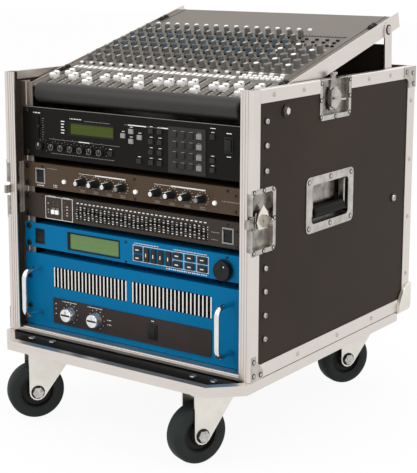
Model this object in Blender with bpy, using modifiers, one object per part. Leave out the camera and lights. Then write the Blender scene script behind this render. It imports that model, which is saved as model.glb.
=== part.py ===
# Rolling rack case with five rack units, a tilting mixer frame on top and a caster board below.
# Sizes are in millimetres: x runs to the right, y back from the case's front plane and z up from
# its underside. MM turns them into metres. The origin lies on the floor under the middle.

import bpy
import bmesh
from math import atan2, cos, hypot, pi, radians, sin, tan
from mathutils import Matrix, Vector

MM = 0.001
GAP = 0.3

# Case
CASE_WIDTH = 520.0
CASE_DEPTH = 550.0
CASE_HEIGHT = 464.0
PANEL = 8.0
BASE_PANEL = 4.4
LIP = 1.4
HALF = CASE_WIDTH / 2
PANEL_OUT = HALF - LIP - GAP
PANEL_IN = PANEL_OUT - PANEL
INNER = PANEL_IN - GAP
INNER_LIP = 1.1
WEB = 1.6
FRONT_POST_FACE = 23.0
FRONT_POST_SIDE = 21.0
REAR_POST_LEG = 30.0
TOP_BAND = 22.0
BOTTOM_BAND = 24.0

# Rack opening: the units' faces lie behind the case's front plane
UNIT_FACE_Y = 25.0
FACEPLATE = 3.0
RACK_WIDTH = 482.6
UNIT_BODY_HALF = 216.0
UNIT_GAP = 11.0
ONE_UNIT = 43.7
TWO_UNITS = 88.1
THREE_UNITS = 132.6
LOWEST_UNIT_Z = 8.0
RAIL_TOP = 446.0

# Latches and handles in the side walls
LATCH_LENGTH = 68.5
LATCH_HALF_WIDTH = 52.0
LATCH_BODY_LENGTH = 62.0
LATCH_BODY_HALF = 46.0
LATCH_AXIS = 34.0
LATCH_FRONT_Z = 257.0
LATCH_TOP_Y = 253.5
WING_REACH = 27.0
HANDLE_Y = 241.5
HANDLE_Z = 258.0
HANDLE_PLATE = (158.0, 95.0)
HANDLE_WELL = (123.0, 66.0)
HANDLE_DEPTH = 18.5
HANDLE_PIN_RISE = 25.0
HANDLE_PIN_X = HALF - 9.5

# Caster board, its trim and the casters
BOARD_FRONT = -57.0
BOARD_REAR = 551.0
BOARD_CHAMFER = 47.0
TRIM_HEIGHT = 17.0
TRIM_LIP = 14.0
TRIM_WALL = 1.4
CASTER_X = 175.0
CASTER_FRONT_Y = 9.0
CASTER_REAR_Y = 494.0
CASTER_TRAIL = 26.0
WHEEL_RADIUS = 50.0
WHEEL_HALF_WIDTH = 16.0
FLOOR_Z = -147.0
PLATE_BOTTOM = -18.2
CASTER_TURNS = {"front_left": -35.0, "front_right": -22.0, "rear_left": -36.0, "rear_right": -28.0}

# Tilting mixer frame, in its own plane: u along the slope and w square to it, from its pivot
TILT_Y = 95.0
TILT_Z = 424.0
TILT_ANGLE = 14.8
BAR_TOP = 29.5
BAR_BOTTOM = 2.5
BAR_FRONT = -40.0
BAR_REAR = 431.0
BAR_X = (241.6, 244.0)
LEG_X = (244.3, 246.7)
LEG_PIVOT = (383.0, 12.0)
GUIDE_Y = 475.0
GUIDE_Z = 225.0
LEG_HALF = 13.0
LEG_LENGTH = 345.0
MIXER_FRONT = -45.0
MIXER_REAR = 414.0
MIXER_CHASSIS_REAR = 397.0
MIXER_TOP = 26.5
MIXER_BOTTOM = -9.5
MIXER_BODY_HALF = 215.0
ARMREST_RADIUS = 18.5
ARMREST_CENTRE = (-50.0, 17.4)

# The middle of the whole object's depth, which the origin lies under
MIDDLE_Y = 245.58

MATERIALS = {
    "laminate": ((0.045, 0.035, 0.030), 0.45, 0.0),
    "aluminium": ((0.80, 0.78, 0.76), 0.35, 1.0),
    "steel": ((0.72, 0.72, 0.72), 0.28, 1.0),
    "zinc": ((0.78, 0.76, 0.72), 0.40, 1.0),
    "rubber": ((0.035, 0.040, 0.042), 0.70, 0.0),
    "black_board": ((0.012, 0.012, 0.012), 0.50, 0.0),
    "black_panel": ((0.015, 0.015, 0.016), 0.40, 0.0),
    "brown_grey": ((0.110, 0.085, 0.070), 0.40, 0.3),
    "blue": ((0.0, 0.130, 0.330), 0.35, 0.0),
    "mixer_grey": ((0.120, 0.120, 0.115), 0.45, 0.2),
    "chrome": ((0.85, 0.85, 0.85), 0.08, 1.0),
    "black_plastic": ((0.020, 0.020, 0.020), 0.45, 0.0),
    "padding": ((0.055, 0.050, 0.046), 0.60, 0.0),
}


def arc(centre, radius, start, end, steps):
    """Points on a circle from one angle to another, in degrees."""
    angles = [radians(start + (end - start) * i / steps) for i in range(steps + 1)]
    return [(centre[0] + radius * cos(a), centre[1] + radius * sin(a)) for a in angles]


def rounded_rectangle(u0, v0, u1, v1, radius, steps=3):
    corners = ((u1 - radius, v1 - radius, 0), (u0 + radius, v1 - radius, 90),
               (u0 + radius, v0 + radius, 180), (u1 - radius, v0 + radius, 270))
    return [p for u, v, start in corners for p in arc((u, v), radius, start, start + 90, steps)]


AXIS_FRAMES = {
    "X": Matrix(((0, 0, 1, 0), (1, 0, 0, 0), (0, 1, 0, 0), (0, 0, 0, 1))),
    "Y": Matrix(((1, 0, 0, 0), (0, 0, -1, 0), (0, 1, 0, 0), (0, 0, 0, 1))),
    "Z": Matrix.Identity(4),
}


class Shape:
    """Collects closed primitives, given in millimetres, in one mesh."""

    def __init__(self):
        self.bm = bmesh.new()

    def box(self, low, high):
        centre = [(a + b) / 2 * MM for a, b in zip(low, high)]
        size = [(b - a) * MM for a, b in zip(low, high)]
        matrix = Matrix.Translation(centre) @ Matrix.Diagonal((*size, 1.0))
        bmesh.ops.create_cube(self.bm, size=1.0, matrix=matrix)
        return self

    def cylinder(self, low, length, radius, axis="Z", sides=24, far_radius=None, turn=0.0):
        """A cylinder or cone from its low end along one axis."""
        direction = {"X": (1, 0, 0), "Y": (0, 1, 0), "Z": (0, 0, 1)}[axis]
        centre = [(c + d * length / 2) * MM for c, d in zip(low, direction)]
        upright = Vector((0, 0, 1)).rotation_difference(Vector(direction)).to_matrix().to_4x4()
        matrix = Matrix.Translation(centre) @ upright @ Matrix.Rotation(radians(turn), 4, "Z")
        far = radius if far_radius is None else far_radius
        bmesh.ops.create_cone(self.bm, cap_ends=True, segments=sides, radius1=radius * MM,
                              radius2=far * MM, depth=length * MM, matrix=matrix)
        return self

    def sphere(self, centre, radius, sides=24):
        matrix = Matrix.Translation([c * MM for c in centre])
        bmesh.ops.create_uvsphere(self.bm, u_segments=sides, v_segments=sides // 2,
                                  radius=radius * MM, matrix=matrix)
        return self

    def outline(self, points, low, high, axis):
        """A flat closed outline, given as (y, z), (x, z) or (x, y), carried from low to high."""
        curve = bpy.data.curves.new("outline", "CURVE")
        curve.dimensions = "2D"
        curve.fill_mode = "BOTH"
        curve.extrude = (high - low) / 2 * MM
        spline = curve.splines.new("POLY")
        spline.points.add(len(points) - 1)
        for point, (u, v) in zip(spline.points, points):
            point.co = (u * MM, v * MM, 0.0, 1.0)
        spline.use_cyclic_u = True
        middle = (high + low) / 2 * MM
        shift = Matrix.Translation((0, 0, -middle if axis == "Y" else middle))
        self.add_curve(curve, AXIS_FRAMES[axis] @ shift, True)
        return self

    def tube(self, points, radius, resolution=2):
        """A round bar along straight runs between points."""
        curve = bpy.data.curves.new("tube", "CURVE")
        curve.dimensions = "3D"
        curve.bevel_depth = radius * MM
        curve.bevel_resolution = resolution
        curve.use_fill_caps = True
        spline = curve.splines.new("POLY")
        spline.points.add(len(points) - 1)
        for point, place in zip(spline.points, points):
            point.co = (*[c * MM for c in place], 1.0)
        self.add_curve(curve, Matrix.Identity(4), False)
        return self

    def add_curve(self, curve, matrix, flat):
        holder = bpy.data.objects.new("curve", curve)
        bpy.context.scene.collection.objects.link(holder)
        depsgraph = bpy.context.evaluated_depsgraph_get()
        mesh = bpy.data.meshes.new_from_object(holder.evaluated_get(depsgraph))
        mesh.transform(matrix)
        piece = bmesh.new()
        piece.from_mesh(mesh)
        bmesh.ops.remove_doubles(piece, verts=piece.verts, dist=0.000002)
        if flat:
            bmesh.ops.dissolve_limit(piece, angle_limit=radians(0.5), verts=piece.verts, edges=piece.edges)
        piece.to_mesh(mesh)
        piece.free()
        self.bm.from_mesh(mesh)
        bpy.data.objects.remove(holder)
        bpy.data.curves.remove(curve)
        bpy.data.meshes.remove(mesh)

    def mesh(self, name, side):
        if side < 0:
            bmesh.ops.scale(self.bm, vec=(-1.0, 1.0, 1.0), verts=self.bm.verts)
        bmesh.ops.recalc_face_normals(self.bm, faces=self.bm.faces)
        mesh = bpy.data.meshes.new(name)
        self.bm.to_mesh(mesh)
        self.bm.free()
        return mesh


def make_collection(name):
    collection = bpy.data.collections.new(name)
    bpy.context.scene.collection.children.link(collection)
    return collection


def make_material(name):
    colour, roughness, metallic = MATERIALS[name]
    material = bpy.data.materials.new(name)
    material.use_nodes = True
    shader = material.node_tree.nodes["Principled BSDF"]
    shader.inputs["Base Color"].default_value = (*colour, 1.0)
    shader.inputs["Roughness"].default_value = roughness
    shader.inputs["Metallic"].default_value = metallic
    return material


def make_empty(name, parent, place=(0, 0, 0), turn=(0, 0, 0)):
    empty = bpy.data.objects.new(name, None)
    PARTS.objects.link(empty)
    empty.parent = parent
    empty.location = [c * MM for c in place]
    empty.rotation_euler = [radians(a) for a in turn]
    return empty


def make_part(name, shape, material, parent, side=1, adds=None, cuts=None, smooth=False):
    """One sub-part: a body, with pieces joined to it and then hollows cut from it."""
    mesh = shape.mesh(name, side)
    mesh.materials.append(FINISHES[material])
    part = bpy.data.objects.new(name, mesh)
    PARTS.objects.link(part)
    part.parent = parent
    if adds:
        add_boolean(part, name + ".join", adds, "UNION", side)
    for number, cut in enumerate(cuts or ()):
        add_boolean(part, "%s.cut%d" % (name, number), cut, "DIFFERENCE", side)
    if smooth:
        mesh.shade_smooth()
        mesh.set_sharp_from_angle(angle=radians(35))
    return part


def add_boolean(part, name, shape, operation, side=1):
    cutter = bpy.data.objects.new(name, shape.mesh(name, side))
    CUTTERS.objects.link(cutter)
    cutter.parent = part.parent
    cutter.hide_render = True
    cutter.display_type = "WIRE"
    modifier = part.modifiers.new(operation.title(), "BOOLEAN")
    modifier.operation = operation
    modifier.solver = "EXACT"
    modifier.object = cutter


# Panels

def latch_holes():
    """The two latch openings in a side panel or edge, and nothing inside the panel's inner face."""
    reach = LATCH_BODY_LENGTH + GAP
    half = LATCH_BODY_HALF + GAP
    holes = Shape()
    holes.box((PANEL_IN - 5, -5, LATCH_FRONT_Z - half), (HALF + 5, reach, LATCH_FRONT_Z + half))
    holes.box((PANEL_IN - 5, LATCH_TOP_Y - half, CASE_HEIGHT - reach),
              (HALF + 5, LATCH_TOP_Y + half, CASE_HEIGHT + 5))
    return holes


def side_panel(name, side):
    shape = Shape().box((PANEL_IN, 2.8, 1.7), (PANEL_OUT, CASE_DEPTH - LIP - GAP, CASE_HEIGHT - WEB - GAP))
    holes = latch_holes()
    half_y = HANDLE_WELL[0] / 2 + 1.8
    half_z = HANDLE_WELL[1] / 2 + 1.8
    holes.box((PANEL_IN - 5, HANDLE_Y - half_y, HANDLE_Z - half_z),
              (HALF + 5, HANDLE_Y + half_y, HANDLE_Z + half_z))
    holes.cylinder((PANEL_IN - 5, TILT_Y, TILT_Z), 20, 5.4, "X", 12)
    make_part(name, shape, "laminate", DATUM, side, cuts=[holes])


def rear_panel():
    face = CASE_DEPTH - LIP - GAP
    reach = INNER - INNER_LIP - GAP
    shape = Shape().box((-reach, face - PANEL, 1.7), (reach, face, CASE_HEIGHT - WEB - GAP))
    make_part("rear_panel", shape, "laminate", DATUM)


def base_panel():
    rear = CASE_DEPTH - LIP - 2 * GAP - PANEL
    reach = INNER - INNER_LIP - GAP
    shape = Shape().box((-reach, 8.3, 1.7), (reach, rear, 1.7 + BASE_PANEL))
    make_part("base_panel", shape, "laminate", DATUM)


# Aluminium edges: each profile is drawn from the corner that it covers

def front_post_profile():
    """A channel round the side panel's edge, with a face across the front."""
    points = [(HALF, FRONT_POST_SIDE), (HALF - LIP, FRONT_POST_SIDE), (HALF - LIP, 2.5), (INNER, 2.5),
              (INNER, 12), (INNER - INNER_LIP, 12), (INNER - INNER_LIP, 2.5),
              (HALF - FRONT_POST_FACE, 2.5), (HALF - FRONT_POST_FACE, 0)]
    return points + arc((HALF - 2, 2), 2, 270, 360, 3)


def channel_profile(band):
    """A channel over a panel's free edge: inward from its outer face, down from its top."""
    points = [(0, band), (LIP, band), (LIP, WEB), (HALF - INNER, WEB), (HALF - INNER, 14),
              (HALF - INNER + INNER_LIP, 14), (HALF - INNER + INNER_LIP, 0)]
    return points + arc((2, 2), 2, 270, 180, 3)


def angle_profile(face_leg, side_leg):
    """A plain angle round an outer corner, inward along both faces."""
    points = [(0, side_leg), (LIP, side_leg), (LIP, LIP), (face_leg, LIP), (face_leg, 0)]
    return points + arc((2, 2), 2, 270, 180, 3)


def front_edge(name, side):
    shape = Shape().outline(front_post_profile(), 0, CASE_HEIGHT, "Z")
    half = LATCH_BODY_HALF + GAP
    notch = Shape().box((INNER + 0.1, -5, LATCH_FRONT_Z - half), (HALF + 5, 40, LATCH_FRONT_Z + half))
    half = LATCH_HALF_WIDTH + GAP
    rebate = Shape().box((PANEL_OUT, -6, LATCH_FRONT_Z - half), (HALF + 6, 41, LATCH_FRONT_Z + half))
    grooves = Shape()
    for groove in range(3):
        left = HALF - FRONT_POST_FACE + 3.5 + 5.0 * groove
        grooves.box((left, -2, -5), (left + 1.8, 0.9, CASE_HEIGHT + 5))
    make_part(name, shape, "aluminium", DATUM, side, cuts=[grooves, notch, rebate])


def top_edge(name, side):
    points = [(HALF - p, CASE_HEIGHT - q) for p, q in channel_profile(TOP_BAND)]
    shape = Shape().outline(points, FRONT_POST_SIDE + GAP, CASE_DEPTH, "Y")
    half = LATCH_BODY_HALF + GAP
    notch = Shape().box((INNER + 0.1, LATCH_TOP_Y - half, CASE_HEIGHT - 40),
                        (HALF + 5, LATCH_TOP_Y + half, CASE_HEIGHT + 5))
    half = LATCH_HALF_WIDTH + GAP
    rebate = Shape().box((PANEL_OUT, LATCH_TOP_Y - half, CASE_HEIGHT - 41),
                         (HALF + 6, LATCH_TOP_Y + half, CASE_HEIGHT + 6))
    make_part(name, shape, "aluminium", DATUM, side, cuts=[notch, rebate])


def rear_edge(name, side):
    points = [(HALF - p, CASE_DEPTH - q) for p, q in angle_profile(REAR_POST_LEG, REAR_POST_LEG)]
    shape = Shape().outline(points, 0, CASE_HEIGHT - TOP_BAND - GAP, "Z")
    make_part(name, shape, "aluminium", DATUM, side)


def bottom_edge(name, side):
    points = [(HALF - p, q) for p, q in angle_profile(BOTTOM_BAND, BOTTOM_BAND)]
    shape = Shape().outline(points, FRONT_POST_SIDE + GAP, CASE_DEPTH - REAR_POST_LEG - GAP, "Y")
    make_part(name, shape, "aluminium", DATUM, side)


def front_edge_bottom():
    """The sill: a low stepped front below the lowest unit, with a channel for the base panel."""
    points = [(21, 0), (0, 0), (0, 4.6), (2.0, 4.6), (2.0, 5.7), (6.5, 5.7), (6.5, 7.5), (24.4, 7.5),
              (24.4, 6.4), (8.0, 6.4), (8.0, LIP), (21, LIP)]
    reach = HALF - FRONT_POST_FACE - GAP
    make_part("front_edge_bottom", Shape().outline(points, -reach, reach, "X"), "aluminium", DATUM)


def rear_edge_top():
    points = [(CASE_DEPTH - p, CASE_HEIGHT - q) for p, q in channel_profile(TOP_BAND)]
    reach = INNER - INNER_LIP - GAP
    make_part("rear_edge_top", Shape().outline(points, -reach, reach, "X"), "aluminium", DATUM)


def rear_edge_bottom():
    points = [(CASE_DEPTH - p, q) for p, q in angle_profile(BOTTOM_BAND, BOTTOM_BAND)]
    reach = HALF - REAR_POST_LEG - GAP
    make_part("rear_edge_bottom", Shape().outline(points, -reach, reach, "X"), "aluminium", DATUM)


def rack_rail(name, side):
    """An angle behind the units' ears, with a channel for the screws down its face."""
    face = UNIT_FACE_Y + FACEPLATE + GAP
    wall = INNER - 0.1
    points = [(wall, face), (236, face), (236, face + 1), (229, face + 1), (229, face), (220, face),
              (220, face + 2.5), (wall - 2, face + 2.5), (wall - 2, face + 24), (wall, face + 24)]
    shape = Shape().outline(points, LOWEST_UNIT_Z, RAIL_TOP, "Z")
    make_part(name, shape, "aluminium", DATUM, side)


# Hardware

def ball_corner(name, side):
    """A rounded steel cap on a rear bottom corner, open towards the case and the board."""
    reach = 6.0
    block = Shape().box((HALF - 60, CASE_DEPTH - 60, -reach), (HALF + reach, CASE_DEPTH + reach, 60))
    bmesh.ops.bevel(block.bm, geom=block.bm.edges, offset=11 * MM, segments=3, profile=0.5,
                    affect="EDGES")
    part = make_part(name, block, "zinc", DATUM, side)
    ball = Shape().sphere((HALF - 3, CASE_DEPTH - 3, 3), 47)
    add_boolean(part, name + ".ball", ball, "INTERSECT", side)
    inside = Shape().box((HALF - 90, CASE_DEPTH - 90, -GAP), (HALF + GAP, CASE_DEPTH + GAP, 90))
    add_boolean(part, name + ".inside", inside, "DIFFERENCE", side)
    under = Shape().outline(board_outline(-1.5), -30, 0.1, "Z")
    add_boolean(part, name + ".under", under, "DIFFERENCE", side)


def handle_dish(name, side):
    """A pressed dish let into the side panel, with holes for the handle's pins."""
    face = PANEL_OUT + GAP
    plate_y, plate_z = HANDLE_PLATE[0] / 2, HANDLE_PLATE[1] / 2
    well_y, well_z = HANDLE_WELL[0] / 2, HANDLE_WELL[1] / 2
    floor = HALF - HANDLE_DEPTH
    plate = rounded_rectangle(HANDLE_Y - plate_y, HANDLE_Z - plate_z, HANDLE_Y + plate_y, HANDLE_Z + plate_z, 10)
    shape = Shape().outline(plate, face, face + 1.2, "X")
    body = Shape().box((floor - 1.5, HANDLE_Y - well_y - 1.5, HANDLE_Z - well_z - 1.5),
                       (face + 0.6, HANDLE_Y + well_y + 1.5, HANDLE_Z + well_z + 1.5))
    well = rounded_rectangle(HANDLE_Y - well_y, HANDLE_Z - well_z, HANDLE_Y + well_y, HANDLE_Z + well_z, 8)
    hollow = Shape().outline(well, floor, HALF + 10, "X")
    pins = Shape().cylinder((HANDLE_PIN_X, HANDLE_Y - well_y - 5, HANDLE_Z + HANDLE_PIN_RISE),
                            2 * well_y + 10, 3.3, "Y", 12)
    make_part(name, shape, "steel", DATUM, side, adds=body, cuts=[hollow, pins])


def handle_bar(name, side):
    """Two arms on pins and a ribbed grip between them, hanging in the dish."""
    parent = make_empty(name + ".axis", DATUM, (side * HANDLE_PIN_X, HANDLE_Y, HANDLE_Z + HANDLE_PIN_RISE))
    pin_reach = HANDLE_WELL[0] / 2 + 1.2
    arm = HANDLE_WELL[0] / 2 - 5.5
    drop = -41.0
    out = 0.8
    shape = Shape().cylinder((out, -arm, drop), 2 * arm, 4.0, "Y", 8)
    adds = Shape()
    for end in (-1, 1):
        low, high = sorted((end * pin_reach, end * (arm - 4)))
        adds.cylinder((0, low, 0), high - low, 3.0, "Y", 8)
        low, high = sorted((end * arm, end * (arm - 3.5)))
        adds.outline(arc((0, 0), 5, 0, 180, 4) + arc((out, drop), 6, 180, 360, 4), low, high, "Y")
    part = make_part(name, shape, "rubber", parent, side, adds=adds)
    ribs = Shape()
    ribs.cylinder((out, -arm + 5, drop), 2 * arm - 10, 8.4, "Y", 8)
    for rib in (-1, 0, 1):
        ribs.cylinder((out, rib * 28 - 9, drop), 18, 9.4, "Y", 8)
    grip = bpy.data.objects.new(name + ".grip", ribs.mesh(name + ".grip", side))
    join_self = part.modifiers.new("Grip", "BOOLEAN")
    CUTTERS.objects.link(grip)
    grip.parent = parent
    grip.hide_render = True
    grip.display_type = "WIRE"
    join_self.operation = "UNION"
    join_self.solver = "EXACT"
    join_self.use_self = True
    join_self.object = grip


LATCHES = {
    "front_right": (1, "Y"), "front_left": (-1, "Y"), "top_right": (1, "Z"), "top_left": (-1, "Z"),
}


def latch_frame(place):
    """An empty at a latch: its x runs to the lid, y across and z out of the wall."""
    side, direction = LATCHES[place]
    out = Vector((side, 0, 0))
    to_lid = Vector((0, -1, 0)) if direction == "Y" else Vector((0, 0, 1))
    across = out.cross(to_lid)
    turn = Matrix((to_lid, across, out)).transposed().to_4x4()
    corner = (side * INNER, 0, LATCH_FRONT_Z) if direction == "Y" else (side * INNER, LATCH_TOP_Y, CASE_HEIGHT)
    frame = make_empty("latch_%s.frame" % place, DATUM)
    frame.matrix_local = Matrix.Translation([c * MM for c in corner]) @ turn
    return frame


def latch(place):
    """A recessed twist latch: its dish, its wing on a turning shaft, and its sliding hook."""
    frame = latch_frame(place)
    corner = (9 - LATCH_LENGTH, LATCH_HALF_WIDTH - 9)
    flange = [(0, LATCH_HALF_WIDTH)] + arc(corner, 9, 90, 180, 3)
    flange += arc((corner[0], -corner[1]), 9, 180, 270, 3) + [(0, -LATCH_HALF_WIDTH)]
    dish = Shape().outline(flange, 8.6, 9.8, "Z")
    body = Shape().box((-LATCH_BODY_LENGTH, -LATCH_BODY_HALF, 0.3), (-0.1, LATCH_BODY_HALF, 9.2))
    hollow = Shape()
    hollow.outline(rounded_rectangle(-LATCH_BODY_LENGTH + 1.5, -LATCH_BODY_HALF + 1.5, -1.6,
                                     LATCH_BODY_HALF - 1.5, 6), 1.8, 12, "Z")
    mouth = Shape().box((-8, -12, 1.8), (5, 12, 12))
    make_part("latch_dish_" + place, dish, "steel", frame, adds=body, cuts=[hollow, mouth])

    axis = make_empty("latch_wing_%s.axis" % place, frame, (-LATCH_AXIS, 0, 0))
    rotor = Shape().cylinder((0, 0, 5.2), 2.6, 11.0, "Z", 14)
    wing = [(-11, 7.2), (11, 7.2), (10, 13), (5.5, WING_REACH - 1.5), (3.5, WING_REACH),
            (-3.5, WING_REACH), (-5.5, WING_REACH - 1.5), (-10, 13)]
    more = Shape().cylinder((0, 0, 2.1), 3.4, 3.5, "Z", 8)
    more.outline(wing, -1.5, 1.5, "X")
    make_part("latch_wing_" + place, rotor, "steel", axis, adds=more)

    hook = Shape().box((-53, -7, 2.1), (9, 7, 4.6))
    lip = Shape().box((5, -7, 4.0), (9, 7, 7.6))
    slot = Shape().box((-LATCH_AXIS - 4.2, -4.0, 0), (-LATCH_AXIS + 10.5, 4.0, 9))
    make_part("latch_hook_" + place, hook, "steel", frame, adds=lip, cuts=[slot])


# Caster board and casters

def board_outline(inset):
    """The board seen from above: a rectangle with its corners cut at 45 degrees."""
    half = HALF - inset
    front, rear = BOARD_FRONT + inset, BOARD_REAR - inset
    cut = BOARD_CHAMFER - inset * (2 - 2 ** 0.5)
    return [(half - cut, front), (half, front + cut), (half, rear - cut), (half - cut, rear),
            (cut - half, rear), (-half, rear - cut), (-half, front + cut), (cut - half, front)]


def caster_places():
    return {"front_left": (-CASTER_X, CASTER_FRONT_Y), "front_right": (CASTER_X, CASTER_FRONT_Y),
            "rear_left": (-CASTER_X, CASTER_REAR_Y), "rear_right": (CASTER_X, CASTER_REAR_Y)}


def caster_board():
    top = -GAP - TRIM_WALL - GAP
    bottom = -GAP - TRIM_HEIGHT + TRIM_WALL + GAP
    shape = Shape().outline(board_outline(TRIM_WALL + GAP), bottom, top, "Z")
    plates = Shape()
    holes = Shape()
    for x, y in caster_places().values():
        plates.box((x - 40, y - 32, PLATE_BOTTOM), (x + 40, y + 32, bottom + 1))
        holes.cylinder((x, y, PLATE_BOTTOM - 5), 18, 5.4, "Z", 12)
    make_part("caster_board", shape, "black_board", DATUM, adds=plates, cuts=[holes])


def board_trim():
    """An aluminium channel round the board's edge."""
    top, bottom = -GAP, -GAP - TRIM_HEIGHT
    shape = Shape().outline(board_outline(0), bottom, top, "Z")
    groove = Shape().outline(board_outline(TRIM_WALL), bottom + TRIM_WALL, top - TRIM_WALL, "Z")
    window = Shape().outline(board_outline(TRIM_LIP), bottom - 5, top + 5, "Z")
    make_part("board_trim", shape, "aluminium", DATUM, cuts=[window, groove])


def caster_fork(place, swivel):
    """A pressed fork: crown and king pin above, two cheeks, and the wheel's axle with hex ends."""
    front, rear = -CASTER_TRAIL - 15, 34.0
    top, bridge, hub = -26.0, -29.0, FLOOR_Z + WHEEL_RADIUS
    cheek = [(rear, top), (front, top), (front, hub)]
    cheek += arc((-CASTER_TRAIL, hub), 15, 180, 322, 5)[1:] + [(rear, top - 14)]
    shape = Shape().box((-20.4, front, bridge), (20.4, rear, top))
    adds = Shape()
    for side in (-1, 1):
        low, high = sorted((side * 17.6, side * 20.4))
        adds.outline(cheek, low, high, "X")
    crown = Shape().cylinder((0, 0, top - 1), PLATE_BOTTOM - GAP - top + 1, 30, "Z", 12)
    pin = Shape().cylinder((0, 0, top), 20, 5.0, "Z", 8)
    axle = Shape().cylinder((-27.5, -CASTER_TRAIL, hub), 55, 6.0, "X", 8)
    nuts = Shape()
    for low in (-25.5, 19.9):
        nuts.cylinder((low, -CASTER_TRAIL, hub), 5.6, 9.0, "X", 6)
    part = make_part("caster_fork_" + place, shape, "zinc", swivel, adds=adds)
    for number, piece in enumerate((crown, pin, axle, nuts)):
        add_boolean(part, "caster_fork_%s.add%d" % (place, number), piece, "UNION")


def wheel_profile():
    """Half of a wheel's section, as (along the axle, radius), from its bore round the tread."""
    return [(17.2, 6.5), (17.2, 13), (9, 16), (9, 31), (WHEEL_HALF_WIDTH, 34), (WHEEL_HALF_WIDTH, 44),
            (9, WHEEL_RADIUS)]


def caster_wheel(place, swivel):
    axle = make_empty("caster_wheel_%s.axis" % place, swivel, (0, -CASTER_TRAIL, FLOOR_Z + WHEEL_RADIUS))
    half = wheel_profile()
    loop = half + [(-along, radius) for along, radius in reversed(half)]
    bm = bmesh.new()
    verts = [bm.verts.new((along * MM, 0, radius * MM)) for along, radius in loop]
    for first, second in zip(verts, verts[1:] + verts[:1]):
        bm.edges.new((first, second))
    mesh = bpy.data.meshes.new("caster_wheel_" + place)
    bm.to_mesh(mesh)
    bm.free()
    mesh.materials.append(FINISHES["rubber"])
    wheel = bpy.data.objects.new("caster_wheel_" + place, mesh)
    PARTS.objects.link(wheel)
    wheel.parent = axle
    screw = wheel.modifiers.new("Turn", "SCREW")
    screw.axis = "X"
    screw.steps = 16
    screw.render_steps = 16
    screw.use_merge_vertices = True
    screw.merge_threshold = 0.00005
    screw.use_smooth_shade = True


def caster(place):
    x, y = caster_places()[place]
    swivel = make_empty("caster_fork_%s.axis" % place, DATUM, (x, y, 0), (0, 0, CASTER_TURNS[place]))
    caster_fork(place, swivel)
    caster_wheel(place, swivel)


# Rack units

def unit_heights():
    """The lower edge of each unit, from the amplifier up."""
    heights = {}
    z = LOWEST_UNIT_Z
    for name, height in (("amplifier", THREE_UNITS), ("multi", ONE_UNIT), ("equaliser", ONE_UNIT),
                         ("compressor", ONE_UNIT), ("processor", TWO_UNITS)):
        heights[name] = z
        z += height + UNIT_GAP
    return heights


def rack_unit(name, z, height, depth, material, controls, hollows):
    """A faceplate with its box behind, controls standing on it and hollows cut in it."""
    face = UNIT_FACE_Y
    half = RACK_WIDTH / 2
    shape = Shape().box((-half, face, z), (half, face + FACEPLATE, z + height))
    box = Shape().box((-UNIT_BODY_HALF, face + 1, z + 1), (UNIT_BODY_HALF, face + depth, z + height - 1))
    part = make_part(name, shape, material, DATUM, adds=box, cuts=hollows)
    for number, piece in enumerate(controls):
        add_boolean(part, "%s.control%d" % (name, number), piece, "UNION")
    return part


def add_button(shape, x, z, width, height, rise=2.0, back=0.5):
    y = UNIT_FACE_Y
    shape.box((x - width / 2, y - rise, z - height / 2), (x + width / 2, y + back, z + height / 2))


def add_knob(shape, x, z, radius, length, sides=12):
    shape.cylinder((x, UNIT_FACE_Y - length, z), length + 0.5, radius * 0.88, "Y", sides, radius)


def add_recess(shape, x0, z0, x1, z1, depth):
    shape.box((x0, UNIT_FACE_Y - 20, z0), (x1, UNIT_FACE_Y + depth, z1))


def effects_processor(z):
    """Display over a row of knobs, four arrow keys, two key columns and a numbered keypad."""
    hollows = Shape()
    add_recess(hollows, -131, z + 46, -36, z + 65, 1.2)
    add_recess(hollows, -204, z + 34, -200, z + 72, 2.0)
    knobs = Shape()
    add_knob(knobs, -194, z + 21, 7.5, 12)
    for column in range(6):
        add_knob(knobs, -166 + 21.6 * column, z + 21.5, 6, 11, 8)
    keys = Shape()
    for x, rise in ((-14, 53.5), (3, 62), (3, 45.5), (21, 53.5)):
        add_button(keys, x, z + rise, 8, 7)
    for x in (44.7, 62.8):
        for row in range(4):
            add_button(keys, x, z + 14 + 17.4 * row, 8, 7)
    for x, rise in ((-42, 20.5), (20, 14), (168, 13.5), (168, 29), (168, 67)):
        add_button(keys, x, z + rise, 8, 7)
    add_button(keys, 199, z + 56, 11, 18, 3.0)
    pad = Shape()
    add_button(pad, 117.5, z + 39.5, 74, 75, 1.0)
    for column in range(4):
        for row in range(4):
            add_button(keys, 93 + 16.5 * column, z + 14 + 17 * row, 9, 8, 2.5, -0.5)
    rack_unit("effects_processor", z, TWO_UNITS, 380, "black_panel", [knobs, pad, keys], [hollows])


def compressor(z):
    """Two channels of four knobs and a rocker switch."""
    hollows = Shape()
    add_recess(hollows, -210.2, z + 9.3, -193.8, z + 31.9, 12)
    knobs = Shape()
    lamps = Shape()
    for first, pitch in ((-104.5, 29.5), (57, 30.5)):
        for column in range(4):
            add_knob(knobs, first + pitch * column, z + 20.5, 5.2, 13, 8)
    for x in (-146, 11.8, 173):
        lamps.cylinder((x, UNIT_FACE_Y - 3, z + 16), 3.5, 2.6, "Y", 6)
    rack_unit("compressor", z, ONE_UNIT, 210, "brown_grey", [knobs, lamps], [hollows])


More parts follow.
